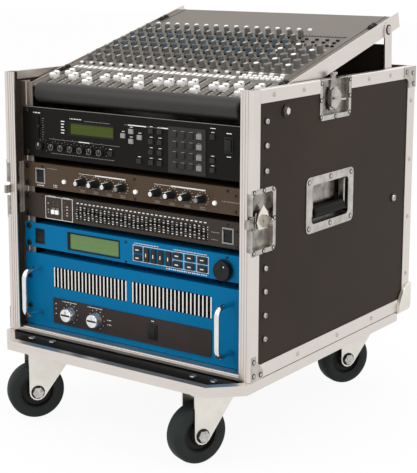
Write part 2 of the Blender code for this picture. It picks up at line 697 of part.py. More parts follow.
def graphic_equaliser(z):
    """31 slide controls in slots, a control box at the left and a rocker switch at the right."""
    hollows = Shape()
    add_recess(hollows, 188.8, z + 9.2, 205.2, z + 31.8, 12)
    caps = Shape()
    add_recess(hollows, -121.5, z + 6, 159.5, z + 32, 1.5)
    for band in range(31):
        rise = 18.5 + 4.5 * sin(band * 0.55) * cos(band * 0.21)
        add_button(caps, -116 + 9 * band, z + rise, 4.4, 5.0, 4.0, 2.0)
    keys = Shape()
    for x in (-172, -163):
        add_button(keys, x, z + 15, 5, 6, 3)
    frame = Shape()
    add_button(frame, -160, z + 22, 64, 36, 0.8)
    rack_unit("graphic_equaliser", z, ONE_UNIT, 200, "brown_grey", [frame, keys, caps], [hollows])


def multi_effect_unit(z):
    """Rocker switch, wide display, grouped keys and a data wheel."""
    hollows = Shape()
    add_recess(hollows, -214.2, z + 9.7, -197.8, z + 32.3, 12)
    add_recess(hollows, -137, z + 8, -26, z + 34.5, 1.2)
    hollows.cylinder((192, UNIT_FACE_Y - 5, z + 18), 17, 3.3, "Y", 12)
    keys = Shape()
    add_button(keys, 14.5, z + 27, 12, 8)
    add_button(keys, 14.5, z + 13, 12, 8)
    for x in (34, 49, 64, 80):
        add_button(keys, x, z + 20, 7, 20)
    for x in (98, 123.5, 149):
        add_button(keys, x, z + 28, 13, 8)
        add_button(keys, x, z + 13, 13, 8)
    rack_unit("multi_effect_unit", z, ONE_UNIT, 250, "blue", [keys], [hollows])


def power_amplifier(z):
    """Two slotted vents over a dark control plate, with a D handle at each end."""
    hollows = Shape()
    for first in (-169.0, 8.0):
        for slot in range(20):
            x = first + 8.1 * slot
            add_recess(hollows, x - 2.6, z + 77, x + 2.6, z + 113, 9)
    for x in (-136, -76):
        hollows.cylinder((x, UNIT_FACE_Y - 5, z + 33.5), 17, 3.3, "Y", 12)
    plate = Shape()
    add_button(plate, -4.5, z + 34, 343, 46, 1.0)
    switch = Shape()
    add_button(switch, 47, z + 33, 15, 22, 3.0, -0.5)
    handles = Shape()
    for x in (-206.2, 206.2):
        handles.tube(handle_route(x, z + 68, 40.5, 42), 4.2, 2)
    part = rack_unit("power_amplifier", z, THREE_UNITS, 400, "blue", [plate, switch, handles], [])
    add_boolean(part, "power_amplifier.vents", hollows, "DIFFERENCE")


def handle_route(x, z, half, standoff):
    """A D handle's line: out from the faceplate, round two bends, and back."""
    bend = 14.0
    face = UNIT_FACE_Y + 1.7
    front = UNIT_FACE_Y - standoff
    lower = [(x, front + bend - bend * sin(a), z - half + bend - bend * cos(a))
             for a in (0, pi / 6, pi / 3, pi / 2)]
    upper = [(px, py, 2 * z - pz) for px, py, pz in reversed(lower)]
    return [(x, face, z - half)] + lower + upper + [(x, face, z + half)]


def rocker(name, x, z):
    """A power switch's rocker, on a cross pin in its well."""
    axis = make_empty(name + ".axis", DATUM, (x, UNIT_FACE_Y + 3.5, z))
    face = [(-10, -3.6), (0, -2.2), (10, -5.8), (9.6, 1.5), (0, 4.5), (-9.6, 1.5)]
    shape = Shape().outline([(y, z0) for z0, y in face], -7.9, 7.9, "X")
    make_part(name, shape, "black_plastic", axis)


def turned_knob(name, x, z, radius, length, material, skirt=0.0):
    """A control knob with a pointer flat, a shaft that enters its unit and, for some, a skirt."""
    axis = make_empty(name + ".axis", DATUM, (x, UNIT_FACE_Y, z))
    shape = Shape().cylinder((0, -length - 1.4, 0), length, radius * 0.9, "Y", 16, radius)
    shaft = Shape().cylinder((0, -2.5, 0), 12.5, 3.0, "Y", 8)
    pointer = Shape().box((-1, -length - 2.2, 0), (1, -length, radius * 0.85))
    part = make_part(name, shape, material, axis, adds=shaft)
    add_boolean(part, name + ".pointer", pointer, "UNION")
    if skirt:
        disc = Shape().cylinder((0, -4.2, 0), 2.8, skirt * 0.94, "Y", 16, skirt)
        add_boolean(part, name + ".skirt", disc, "UNION")


# Tilting frame, its legs and the mixer

def tilt_frame():
    """Two aluminium side bars on pivot bolts, with ledges for the mixer's ears and a rear tie."""
    bar = [(BAR_REAR, BAR_TOP), (BAR_FRONT, BAR_TOP), (BAR_FRONT, BAR_BOTTOM + 0.3), (-15, BAR_BOTTOM)]
    bar += arc((0, 0), 14, 180, 360, 8) + [(18, BAR_BOTTOM - 0.3), (BAR_REAR, BAR_BOTTOM)]
    adds = Shape()
    holes = Shape()
    for side in (-1, 1):
        low, high = sorted((side * BAR_X[0], side * BAR_X[1]))
        adds.outline(bar, low, high, "X")
        holes.cylinder((low - 5, *LEG_PIVOT), 15, 5.4, "X", 12)
    ledges = Shape()
    bolts = Shape()
    washers = Shape()
    heads = Shape()
    for side in (-1, 1):
        low, high = sorted((side * 222.0, side * 242.0))
        ledges.box((low, BAR_FRONT, 20.7), (high, MIXER_REAR, 23.2))
        low, high = sorted((side * (BAR_X[1] - 1), side * (HALF + 3.6)))
        bolts.cylinder((low, 0, 0), high - low, 5.0, "X", 8)
        low, high = sorted((side * (HALF - 1.2), side * (HALF + 0.6)))
        washers.cylinder((low, 0, 0), high - low, 8.5, "X", 12, turn=7.0)
        low, high = sorted((side * (HALF + 0.2), side * (HALF + 4.6)))
        heads.cylinder((low, 0, 0), high - low, 6.0, "X", 6, turn=4.0)
    tie = Shape().box((-243, 404, 6), (243, 412, 22))
    part = make_part("tilt_frame", tie, "aluminium", TILT, adds=adds)
    for number, piece in enumerate((ledges, bolts, washers, heads)):
        add_boolean(part, "tilt_frame.add%d" % number, piece, "UNION")
    add_boolean(part, "tilt_frame.holes", holes, "DIFFERENCE")


def leg_lean():
    """The leg's place and lean when the frame is up: from its pivot to the guide bolt."""
    tilt = radians(TILT_ANGLE)
    u, w = LEG_PIVOT
    y = TILT_Y + u * cos(tilt) - w * sin(tilt)
    z = TILT_Z + u * sin(tilt) + w * cos(tilt)
    return y, z, atan2(GUIDE_Y - y, z - GUIDE_Z)


def leg_panel():
    """Two slotted legs joined by a dark panel: it holds the frame up and sinks as it lowers."""
    y, z, lean = leg_lean()
    pivot = make_empty("leg_panel.axis", DATUM, (0, y, z), (lean * 180 / pi, 0, 0))
    leg = arc((0, 0), LEG_HALF, 0, 180, 8) + [(-LEG_HALF, -LEG_LENGTH), (LEG_HALF, -LEG_LENGTH)]
    slot = arc((0, -205), 6, 0, 180, 5) + arc((0, -318), 6, 180, 360, 5)
    adds = Shape()
    slots = Shape()
    pins = Shape()
    for side in (-1, 1):
        low, high = sorted((side * LEG_X[0], side * LEG_X[1]))
        adds.outline(leg, low, high, "X")
        slots.outline(slot, low - 2, high + 2, "X")
        low, high = sorted((side * (BAR_X[0] + 0.2), side * (LEG_X[0] + 1)))
        pins.cylinder((low, 0, 0), high - low, 5.0, "X", 8)
        low, high = sorted((side * (LEG_X[1] - 0.5), side * (LEG_X[1] + 1.8)))
        pins.cylinder((low, 0, 0), high - low, 7.0, "X", 10, turn=7.0)
    panel = Shape().box((-245.5, 5, -LEG_LENGTH + 4), (245.5, 12, -28))
    part = make_part("leg_panel", panel, "laminate", pivot, adds=adds)
    add_boolean(part, "leg_panel.pins", pins, "UNION")
    add_boolean(part, "leg_panel.slots", slots, "DIFFERENCE")


def mixer_body():
    """A wedge-fronted mixer: channel strips of knobs, slide controls in front, a bare rear deck."""
    half = RACK_WIDTH / 2
    shape = Shape().box((-half, MIXER_FRONT, MIXER_TOP - FACEPLATE), (half, MIXER_REAR, MIXER_TOP))
    under = [(MIXER_FRONT, MIXER_TOP - 1), (MIXER_FRONT, -2), (20, MIXER_BOTTOM),
             (MIXER_CHASSIS_REAR, MIXER_BOTTOM), (MIXER_CHASSIS_REAR, MIXER_TOP - 1)]
    box = Shape().outline(under, -MIXER_BODY_HALF, MIXER_BODY_HALF, "X")
    knobs = Shape()
    caps = Shape()
    slots = Shape()
    for channel in range(16):
        x = -220 + 23 * channel
        for row in range(4):
            knobs.cylinder((x, 100 + 52 * row, MIXER_TOP - 0.5), 10.5, 4.6, "Z", 6, 3.8)
        slots.box((x - 1, -37, MIXER_TOP - 2), (x + 1, 40, MIXER_TOP + 5))
        travel = 22 * sin(channel * 1.9) * cos(channel * 0.7)
        caps.box((x - 4.5, travel - 7, MIXER_TOP - 2.5), (x + 4.5, travel + 7, MIXER_TOP + 8))
    for column in range(4):
        x = 146 + 21 * column
        for row in range(3):
            knobs.cylinder((x, 100 + 52 * row, MIXER_TOP - 0.5), 12.5, 5.2, "Z", 6, 4.4)
        slots.box((x - 1, -37, MIXER_TOP - 2), (x + 1, 40, MIXER_TOP + 5))
        travel = 18 * sin(column * 2.3)
        caps.box((x - 4.5, travel - 7, MIXER_TOP - 2.5), (x + 4.5, travel + 7, MIXER_TOP + 8))
    part = make_part("mixer_body", shape, "mixer_grey", TILT, adds=box, cuts=[slots])
    add_boolean(part, "mixer_body.knobs", knobs, "UNION")
    add_boolean(part, "mixer_body.caps", caps, "UNION")


def mixer_armrest():
    """A padded round roll along the mixer's front."""
    u, w = ARMREST_CENTRE
    back = MIXER_FRONT - GAP
    angle = atan2(((ARMREST_RADIUS ** 2 - (back - u) ** 2) ** 0.5), back - u) * 180 / pi
    roll = arc((u, w), ARMREST_RADIUS, angle, 360 - angle, 22)
    shape = Shape().outline(roll, -MIXER_BODY_HALF, MIXER_BODY_HALF, "X")
    make_part("mixer_armrest", shape, "padding", TILT, smooth=True)


for leftover in list(bpy.data.objects):
    bpy.data.objects.remove(leftover)
PARTS = make_collection("rack_case")
CUTTERS = make_collection("cutters")
FINISHES = {name: make_material(name) for name in MATERIALS}
DATUM = make_empty("case_datum", None, (0, -MIDDLE_Y, -FLOOR_Z))
TILT = make_empty("tilt_frame.axis", DATUM, (0, TILT_Y, TILT_Z), (TILT_ANGLE, 0, 0))

for word, sign in (("right", 1), ("left", -1)):
    side_panel("side_panel_" + word, sign)
    front_edge("front_edge_" + word, sign)
    top_edge("top_edge_" + word, sign)
    rear_edge("rear_edge_" + word, sign)
    bottom_edge("bottom_edge_" + word, sign)
    rack_rail("rack_rail_" + word, sign)
    ball_corner("ball_corner_" + word, sign)
    handle_dish("handle_dish_" + word, sign)
    handle_bar("handle_bar_" + word, sign)
rear_panel()
base_panel()
front_edge_bottom()
rear_edge_top()
rear_edge_bottom()
for place in LATCHES:
    latch(place)
caster_board()
board_trim()
for place in caster_places():
    caster(place)

levels = unit_heights()
effects_processor(levels["processor"])
compressor(levels["compressor"])
graphic_equaliser(levels["equaliser"])
multi_effect_unit(levels["multi"])
power_amplifier(levels["amplifier"])
rocker("compressor_switch", -202, levels["compressor"] + 20.6)
rocker("equaliser_switch", 197, levels["equaliser"] + 20.5)
rocker("multi_effect_switch", -206, levels["multi"] + 21)
turned_knob("data_wheel", 192, levels["multi"] + 18, 16.0, 10, "black_plastic")
turned_knob("gain_knob_left", -136, levels["amplifier"] + 33.5, 9.0, 14, "chrome", 11.5)
turned_knob("gain_knob_right", -76, levels["amplifier"] + 33.5, 9.0, 14, "chrome", 11.5)

tilt_frame()
leg_panel()
mixer_body()
mixer_armrest()
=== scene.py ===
import bpy
from math import cos, floor, pi, radians, sin
from mathutils import Matrix, Vector


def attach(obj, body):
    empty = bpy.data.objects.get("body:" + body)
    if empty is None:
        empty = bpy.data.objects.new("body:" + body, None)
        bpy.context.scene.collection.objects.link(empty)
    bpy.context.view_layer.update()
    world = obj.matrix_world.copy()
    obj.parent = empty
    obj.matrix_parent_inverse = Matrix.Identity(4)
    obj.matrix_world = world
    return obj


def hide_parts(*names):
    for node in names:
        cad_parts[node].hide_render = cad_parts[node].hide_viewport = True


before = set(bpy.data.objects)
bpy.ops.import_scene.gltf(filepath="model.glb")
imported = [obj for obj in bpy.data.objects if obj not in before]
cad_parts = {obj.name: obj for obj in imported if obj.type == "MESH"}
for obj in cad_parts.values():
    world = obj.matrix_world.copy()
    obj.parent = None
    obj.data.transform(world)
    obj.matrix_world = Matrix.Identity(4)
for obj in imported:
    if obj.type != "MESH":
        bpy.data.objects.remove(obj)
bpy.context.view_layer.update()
print("frame loaded:", len(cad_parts), "nodes")

# millimetres of the case: x right, y back from its front plane, z up from its underside
case = {"middleY": 245.58, "drop": 147, "wallX": 260, "rearY": 550, "faceY": 25}
tilt = {"y": 95, "z": 424, "angle": 14.8}
unitFloor = {"amplifier": 8, "multi": 151.6, "equaliser": 206.3, "compressor": 261, "processor": 315.7}
casterSpots = {
    "front_left": (-175, 9, -35), "front_right": (175, 9, -22),
    "rear_left": (-175, 494, -36), "rear_right": (175, 494, -28),
}
latchSpots = {"front": (250, 0, 257), "top": (250, 253.5, 464)}
handleSpot = (250.5, 241.5, 283)


def at(x, y, z):
    return Vector((x, y - case["middleY"], z + case["drop"])) * 0.001


millimetres = Matrix.Scale(0.001, 4)
caseSpace = Matrix.Translation(at(0, 0, 0)) @ millimetres
tiltTurn = Matrix.Rotation(radians(tilt["angle"]), 4, "X")
tiltSpace = Matrix.Translation(at(0, tilt["y"], tilt["z"])) @ tiltTurn @ millimetres


def casterSpace(place):
    x, y, turn = casterSpots[place]
    return Matrix.Translation(at(x, y, 0)) @ Matrix.Rotation(radians(turn), 4, "Z") @ millimetres


def latchSpace(place):
    # x towards the missing lid, y along the edge, z out of the wall
    kind, word = place.split("_")
    side = 1 if word == "right" else -1
    out = Vector((side, 0, 0))
    toLid = Vector((0, -1, 0)) if kind == "front" else Vector((0, 0, 1))
    x, y, z = latchSpots[kind]
    turn = Matrix((toLid, out.cross(toLid), out)).transposed().to_4x4()
    return Matrix.Translation(at(side * x, y, z)) @ turn @ millimetres


def handleSpace(word):
    side = 1 if word == "right" else -1
    x, y, z = handleSpot
    return Matrix.Translation(at(side * x, y, z)) @ Matrix.Diagonal((side, 1, 1, 1)) @ millimetres


def spaceOf(body):
    # the space in millimetres where a body's pieces are modelled
    kind, _, place = body.partition("_")
    if kind in ("tilt", "legs"):
        return tiltSpace
    makers = {"wheel": casterSpace, "swivel": casterSpace, "wing": latchSpace, "handle": handleSpace}
    return makers[kind](place) if kind in makers else caseSpace


def wireSum(operation, swapped=False):
    # a sum that a wire takes part in, as a math node
    def work(self, other=0):
        values = (other, self) if swapped else (self, other)
        return addNode(self.tree, "ShaderNodeMath", {"operation": operation}, values)
    return work


class Wire:
    def __init__(self, tree, socket):
        self.tree = tree
        self.socket = socket

    __add__, __radd__ = wireSum("ADD"), wireSum("ADD", True)
    __sub__, __rsub__ = wireSum("SUBTRACT"), wireSum("SUBTRACT", True)
    __mul__, __truediv__ = wireSum("MULTIPLY"), wireSum("DIVIDE")
    __gt__, __mod__ = wireSum("GREATER_THAN"), wireSum("FLOORED_MODULO")
    __abs__, __floor__ = wireSum("ABSOLUTE"), wireSum("FLOOR")


def addNode(tree, kind, settings, values, output=0):
    node = tree.nodes.new(kind)
    for key, value in settings.items():
        setattr(node, key, value)
    pairs = values.items() if isinstance(values, dict) else enumerate(values)
    for key, value in pairs:
        if isinstance(value, Wire):
            tree.links.new(value.socket, node.inputs[key])
        else:
            node.inputs[key].default_value = value
    return Wire(tree, node.outputs[output])


finishes = {}


class Finish:
    def __init__(self, name, colour, roughness, metallic=0, coat=0, gloss=0.5):
        self.material = bpy.data.materials.new(name)
        self.material.use_nodes = True
        self.tree = self.material.node_tree
        self.shader = self.tree.nodes["Principled BSDF"]
        values = {"Base Color": (*colour, 1), "Roughness": roughness, "Metallic": metallic,
                  "Coat Weight": coat, "Specular IOR Level": gloss}
        for key, value in values.items():
            self.shader.inputs[key].default_value = value
        finishes[name] = self.material

    def node(self, kind, settings, values, output=0):
        return addNode(self.tree, kind, settings, values, output)

    def place(self, scale=(1, 1, 1), turn=(0, 0, 0)):
        spot = self.node("ShaderNodeTexCoord", {}, {}, "Object")
        return self.node("ShaderNodeMapping", {}, {"Vector": spot, "Scale": scale, "Rotation": turn})

    def axis(self, vector, letter):
        return self.node("ShaderNodeSeparateXYZ", {}, {0: vector}, "XYZ".index(letter))

    def noise(self, vector, scale, detail=3, rough=0.55):
        values = {"Vector": vector, "Scale": scale, "Detail": detail, "Roughness": rough}
        return self.node("ShaderNodeTexNoise", {}, values)

    def range(self, value, low, high):
        return self.node("ShaderNodeMapRange", {}, {0: value, 1: low, 2: high, 3: 0, 4: 1})

    def mix(self, factor, first, second):
        return self.node("ShaderNodeMix", {"data_type": "RGBA"}, {0: factor, 6: first, 7: second}, 2)

    def vary(self, factor, colour, darker, lighter):
        return self.mix(factor, shade(colour, darker), shade(colour, lighter))

    def feed(self, **links):
        for name, value in links.items():
            self.tree.links.new(value.socket, self.shader.inputs[name.replace("_", " ")])

    def relief(self, height, distance, strength=1):
        values = {"Strength": strength, "Distance": distance, "Height": height}
        self.feed(Normal=self.node("ShaderNodeBump", {}, values))


def shade(colour, amount=1):
    return (*[min(1, c * amount) for c in colour], 1)


def mottled(name, colour, roughness, grain, patch, spread, gloss=0.5, relief=0.00004, wear=0.05, **others):
    # slow patches in the colour, a fine grain in the relief
    finish = Finish(name, colour, roughness, gloss=gloss, **others)
    spot = finish.place()
    slow = finish.noise(spot, patch, 4)
    fine = finish.noise(spot, grain, 2)
    finish.feed(Base_Color=finish.vary(finish.range(slow, 0.3, 0.7), colour, 1 - spread, 1 + spread))
    finish.feed(Roughness=roughness + (slow - 0.5) * (2 * wear) + (fine - 0.5) * wear)
    finish.relief(fine, relief)


def brushed(name, colour, roughness, axis, metallic=1, spread=0.06, streak=0.07, gloss=0.5):
    # lines that run along one axis, and duller patches
    finish = Finish(name, colour, roughness, metallic, gloss=gloss)
    scale = [5 if letter == axis else 1800 for letter in "XYZ"]
    lines = finish.noise(finish.place(scale), 1, 3, 0.6)
    slow = finish.noise(finish.place(), 14, 4)
    blend = finish.range(lines * 0.7 + slow * 0.3, 0.35, 0.65)
    finish.feed(Base_Color=finish.vary(blend, colour, 1 - spread, 1 + spread))
    finish.feed(Roughness=roughness + (lines - 0.5) * (2 * streak) + (slow - 0.5) * 0.16)
    finish.relief(lines, 0.00002, 0.5)


# name: colour, roughness, how fine the grain and the patches are, how far the colour spreads, gloss, others
laminate, aluminium = (0.033, 0.024, 0.018), (0.70, 0.65, 0.61)
platedSteel = {"metallic": 1, "relief": 0.00003, "wear": 0.08}
mottledFinishes = {
    "laminate": (laminate, 0.46, 1300, 5, 0.14, 0.06, {"relief": 0.00005}),
    "blackBoard": ((0.004, 0.004, 0.004), 0.36, 700, 12, 0.20, 0.03, {}),
    "zinc": ((0.76, 0.73, 0.67), 0.36, 420, 30, 0.08, 0.5, platedSteel),
    "braceSteel": ((0.50, 0.475, 0.43), 0.34, 420, 60, 0.20, 0.5, platedSteel),
    "boltSteel": ((0.50, 0.49, 0.47), 0.28, 900, 120, 0.25, 0.5, {"metallic": 1, "wear": 0.1}),
    # dark steel of the black screws, also the painted shadow rings round bolt heads and rivets
    "darkSteel": ((0.020, 0.019, 0.018), 0.34, 900, 120, 0.25, 0.3, {"metallic": 0.6, "wear": 0.1}),
    "chromePlate": ((0.74, 0.74, 0.75), 0.12, 200, 60, 0.12, 0.5,
                    {"metallic": 1, "relief": 0.00001, "wear": 0.04}),
    "tyreRubber": ((0.020, 0.024, 0.023), 0.60, 1500, 25, 0.20, 0.14, {"relief": 0.00008, "wear": 0.1}),
    "hubPlastic": ((0.009, 0.009, 0.008), 0.45, 800, 30, 0.20, 0.15, {}),
    # painted shade: near black for the dark inside of the vents and fader slots
    "voidBlack": ((0.004, 0.004, 0.004), 0.70, 800, 30, 0.20, 0.03, {}),
    "gripRubber": ((0.008, 0.0075, 0.007), 0.55, 1400, 40, 0.20, 0.08, {}),
    "padPanel": ((0.028, 0.027, 0.026), 0.50, 1300, 30, 0.12, 0.12, {}),
    "plateDark": ((0.032, 0.025, 0.023), 0.42, 1300, 20, 0.10, 0.15, {}),
    "bluePaint": ((0.0005, 0.138, 0.310), 0.40, 1000, 7, 0.06, 0.05, {}),
    "mixerPaint": ((0.145, 0.127, 0.106), 0.46, 1600, 6, 0.05, 0.3, {"relief": 0.00006}),
    "blackPlastic": ((0.009, 0.009, 0.009), 0.38, 1200, 60, 0.15, 0.22, {}),
    "greyPlastic": ((0.20, 0.20, 0.195), 0.45, 1200, 60, 0.10, 0.5, {}),
    "knobGrey": ((0.135, 0.130, 0.122), 0.45, 1200, 60, 0.14, 0.3, {}),
    "paleKey": ((0.27, 0.265, 0.26), 0.45, 1200, 60, 0.08, 0.3, {}),
    "keyPlastic": ((0.022, 0.021, 0.020), 0.45, 1200, 60, 0.12, 0.2, {}),
    "bluePlastic": ((0.095, 0.125, 0.145), 0.45, 1200, 60, 0.14, 0.3, {}),
    "whitePlastic": ((0.93, 0.92, 0.90), 0.40, 1200, 60, 0.04, 0.3, {}),
    "print": ((0.78, 0.77, 0.75), 0.55, 2500, 90, 0.08, 0.2, {}),
    "dimPrint": ((0.25, 0.24, 0.23), 0.55, 2500, 90, 0.10, 0.1, {}),
    "redLamp": ((0.16, 0.03, 0.025), 0.20, 900, 90, 0.10, 0.5, {"coat": 0.3}),
}
for finishName, (*values, others) in mottledFinishes.items():
    mottled(finishName, *values, **others)
for letter in "XYZ":
    brushed("aluminium" + letter, aluminium, 0.36, letter)
brushed("blackPaint", (0.0075, 0.0068, 0.0055), 0.42, "X", 0, 0.12, 0.04, 0.09)
brushed("brownPaint", (0.074, 0.048, 0.030), 0.42, "X", 0.2, 0.10, 0.05, 0.15)
brushed("umberPaint", (0.043, 0.033, 0.027), 0.42, "X", 0.2, 0.10, 0.05, 0.15)


def screenFinish(name, paper, ink):
    # rows of small cells, some of them dark
    cellWide, cellHigh, letterWide, lineHigh = 0.0012, 0.0013, 0.0060, 0.0100
    finish = Finish(name, paper, 0.30, gloss=0.15)
    spot = finish.place()
    across, up = finish.axis(spot, "X"), finish.axis(spot, "Z")
    corner = {0: floor(across / cellWide), 2: floor(up / cellHigh)}
    chance = finish.node("ShaderNodeTexWhiteNoise", {}, {"Vector": finish.node("ShaderNodeCombineXYZ", {}, corner)})
    gap = ((across % letterWide) > 0.0009) * ((up % lineHigh) > 0.0035)
    finish.feed(Base_Color=finish.mix((chance > 0.62) * gap * 0.16, shade(paper), shade(ink)))


def nickelFinish():
    # painted shade: darker down inside the dishes than on their bright rims, by the distance from the case's middle
    finish = Finish("nickel", (0.50, 0.47, 0.44), 0.22, 1)
    spot = finish.place()
    slow = finish.noise(spot, 55, 4)
    fine = finish.noise(spot, 420, 3)
    depth = finish.range(abs(finish.axis(spot, "X")) + (slow - 0.5) * 0.003, 0.2520, 0.2590)
    rim = finish.mix(finish.range(slow, 0.3, 0.7), shade((0.36, 0.34, 0.31)), shade((0.58, 0.55, 0.51)))
    # painted shade: the colour down inside the dishes
    inside = finish.mix(finish.range(slow, 0.25, 0.75), shade((0.10, 0.09, 0.08)), shade((0.42, 0.39, 0.35)))
    finish.feed(Base_Color=finish.mix(depth, inside, rim))
    finish.feed(Roughness=0.22 + (slow - 0.5) * 0.16 + (fine - 0.5) * 0.05)
    finish.relief(fine, 0.00003)


def legFinish():
    # laminate on the panel, brushed aluminium on the two legs outside it
    legFrom = 0.2442
    finish = Finish("legPanel", laminate, 0.46, gloss=0.06)
    spot = finish.place()
    leg = abs(finish.axis(spot, "X")) > legFrom
    slow = finish.noise(spot, 7, 4)
    lines = finish.noise(finish.place((1800, 1800, 5)), 1, 3, 0.6)
    metal = finish.vary(finish.range(lines, 0.35, 0.65), aluminium, 0.92, 1.08)
    finish.feed(Base_Color=finish.mix(leg, finish.vary(slow, laminate, 0.86, 1.14), metal), Metallic=leg)
    finish.feed(Roughness=0.46 - leg * 0.10 + (lines - 0.5) * 0.1)
    finish.relief(lines, 0.00002, 0.5)


def padFinish():
    # vinyl with fine ridges along the roll
    vinyl = (0.020, 0.017, 0.015)
    finish = Finish("padVinyl", vinyl, 0.40, gloss=0.40)
    grain = finish.noise(finish.place(turn=(radians(-tilt["angle"]), 0, 0)), 700, 3)
    ridges = finish.noise(finish.place((3, 500, 500)), 1, 2)
    finish.feed(Base_Color=finish.vary(finish.range(ridges, 0.35, 0.65), vinyl, 0.85, 1.12))
    finish.feed(Roughness=0.46 + (grain - 0.5) * 0.2)
    finish.relief(grain * 0.4 + ridges * 0.6, 0.00012)


screenFinish("greenScreen", (0.052, 0.072, 0.008), (0.026, 0.037, 0.010))
screenFinish("paleScreen", (0.128, 0.212, 0.080), (0.054, 0.082, 0.036))
nickelFinish()
legFinish()
padFinish()
print("finishes made:", len(finishes))

# a finish for each CAD node, by how its name starts: a later row wins
nodeFinishes = {
    "laminate": ("side_panel_", "rear_panel", "base_panel"),
    "legPanel": ("leg_panel",),
    "blackBoard": ("caster_board",),
    "aluminiumZ": ("front_edge_", "rear_edge_", "rack_rail_"),
    "aluminiumX": ("front_edge_bottom", "rear_edge_top", "rear_edge_bottom", "board_trim"),
    "aluminiumY": ("top_edge_", "bottom_edge_", "tilt_frame"),
    "nickel": ("handle_dish_", "latch_"),
    "zinc": ("ball_corner_", "caster_fork_"),
    "tyreRubber": ("caster_wheel_",),
    "gripRubber": ("handle_bar_",),
    "blackPaint": ("effects_processor",),
    "brownPaint": ("compressor",),
    "umberPaint": ("graphic_equaliser",),
    "bluePaint": ("multi_effect_unit", "power_amplifier"),
    "mixerPaint": ("mixer_body",),
    "chromePlate": ("gain_knob_",),
    "blackPlastic": ("data_wheel", "compressor_switch", "equaliser_switch", "multi_effect_switch"),
    "padVinyl": ("mixer_armrest",),
}
for finishName, starts in nodeFinishes.items():
    for nodeName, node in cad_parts.items():
        if nodeName.startswith(starts):
            node.data.materials.clear()
            node.data.materials.append(finishes[finishName])


# modelling, in millimetres until a piece is settled
def selectOnly(piece):
    bpy.ops.object.select_all(action="DESELECT")
    piece.select_set(True)
    bpy.context.view_layer.objects.active = piece


def applyPlace(piece):
    selectOnly(piece)
    bpy.ops.object.transform_apply(location=True, rotation=True, scale=True)


def applyAll(piece):
    selectOnly(piece)
    for modifier in list(piece.modifiers):
        bpy.ops.object.modifier_apply(modifier=modifier.name)


def editAll(piece, *steps):
    # runs mesh operators, each with its settings, on the whole mesh
    selectOnly(piece)
    bpy.ops.object.mode_set(mode="EDIT")
    for operator, settings in steps:
        bpy.ops.mesh.select_all(action="SELECT")
        operator(**settings)
    bpy.ops.object.mode_set(mode="OBJECT")


def addObject(name, data):
    holder = bpy.data.objects.new(name, data)
    bpy.context.collection.objects.link(holder)
    return holder


def newBlock(name, low, high, bevel=0, segments=2):
    bpy.ops.mesh.primitive_cube_add(size=1, location=[(a + b) / 2 for a, b in zip(low, high)])
    piece = bpy.context.object
    piece.name = name
    piece.scale = [b - a for a, b in zip(low, high)]
    applyPlace(piece)
    if bevel:
        roundEdges(piece, bevel, segments)
    return piece


def newDrum(name, low, length, radius, axis="Z", sides=24):
    way = Vector([1 if letter == axis else 0 for letter in "XYZ"])
    turn = Vector((0, 0, 1)).rotation_difference(way).to_euler()
    bpy.ops.mesh.primitive_cone_add(vertices=sides, radius1=radius, radius2=radius, depth=length,
                                    location=Vector(low) + way * length / 2, rotation=turn)
    piece = bpy.context.object
    piece.name = name
    applyPlace(piece)
    return piece


def roundEdges(piece, width, segments=2, limit=30):
    bevel = piece.modifiers.new("Round", "BEVEL")
    bevel.width = width
    bevel.segments = segments
    bevel.limit_method = "ANGLE"
    bevel.angle_limit = radians(limit)
    applyAll(piece)


def cutOut(piece, tool):
    cut = piece.modifiers.new("Cut", "BOOLEAN")
    cut.operation = "DIFFERENCE"
    cut.object = tool
    applyAll(piece)
    bpy.data.objects.remove(tool)


def dropSlivers(piece):
    # faces without an area that a cut leaves behind
    editAll(piece, (bpy.ops.mesh.dissolve_degenerate, {"threshold": 0.001}))


def joinPieces(name, pieces):
    selectOnly(pieces[0])
    for piece in pieces[1:]:
        piece.select_set(True)
    if len(pieces) > 1:
        bpy.ops.object.join()
    joined = bpy.context.object
    joined.name = name
    return joined


def scatter(model, name, spots):
    # copies of a model, each with its own mesh, joined as one piece
    twins = []
    for spot in spots:
        twin = addObject(model.name, model.data.copy())
        twin.matrix_world = spot
        twins.append(twin)
    bpy.data.objects.remove(model)
    joined = joinPieces(name, twins)
    bpy.ops.object.transform_apply(location=True, rotation=True, scale=True)
    return joined


def settle(piece, finish, body="case", smooth=True, space=None):
    # from millimetres to its place on a body, with its finish
    piece.matrix_world = space or spaceOf(body)
    applyPlace(piece)
    piece.data.materials.clear()
    piece.data.materials.append(finishes[finish])
    if smooth:
        bpy.ops.object.shade_smooth_by_angle(angle=radians(35))
    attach(piece, body)


def spread(name, model, spots, finish, slot=None, body="case", smooth=True, space=None):
    settle(scatter(model, name, spots), finish, body, smooth, space)


def turned(name, profile, axis="Z", steps=48):
    # a profile of (along, radius) points spun round an axis, closed at its foot where its head is closed
    if profile[0][1] > 0 and profile[-1][1] == 0:
        profile = [(profile[0][0], 0)] + profile
    mesh = bpy.data.meshes.new(name)
    points = [(radius, 0, along) for along, radius in profile]
    mesh.from_pydata(points, [(i, i + 1) for i in range(len(points) - 1)], [])
    piece = addObject(name, mesh)
    editAll(piece, (bpy.ops.mesh.spin, {"steps": steps, "angle": 2 * pi, "center": (0, 0, 0), "axis": (0, 0, 1)}),
            (bpy.ops.mesh.remove_doubles, {"threshold": 0.002}),
            (bpy.ops.mesh.normals_make_consistent, {"inside": False}))
    # on Y the profile's far end faces the front
    piece.rotation_euler = {"X": (0, pi / 2, 0), "Y": (pi / 2, 0, 0), "Z": (0, 0, 0)}[axis]
    applyPlace(piece)
    return piece


def curvePiece(curve, points):
    # a mesh from a curve through the points
    line = curve.splines.new("POLY")
    line.points.add(len(points) - 1)
    for point, spot in zip(line.points, points):
        point.co = (*spot, 1)
    line.use_cyclic_u = curve.dimensions == "2D"
    piece = addObject(curve.name, curve)
    selectOnly(piece)
    bpy.ops.object.convert(target="MESH")
    editAll(piece, (bpy.ops.mesh.remove_doubles, {"threshold": 0.002}))
    return piece


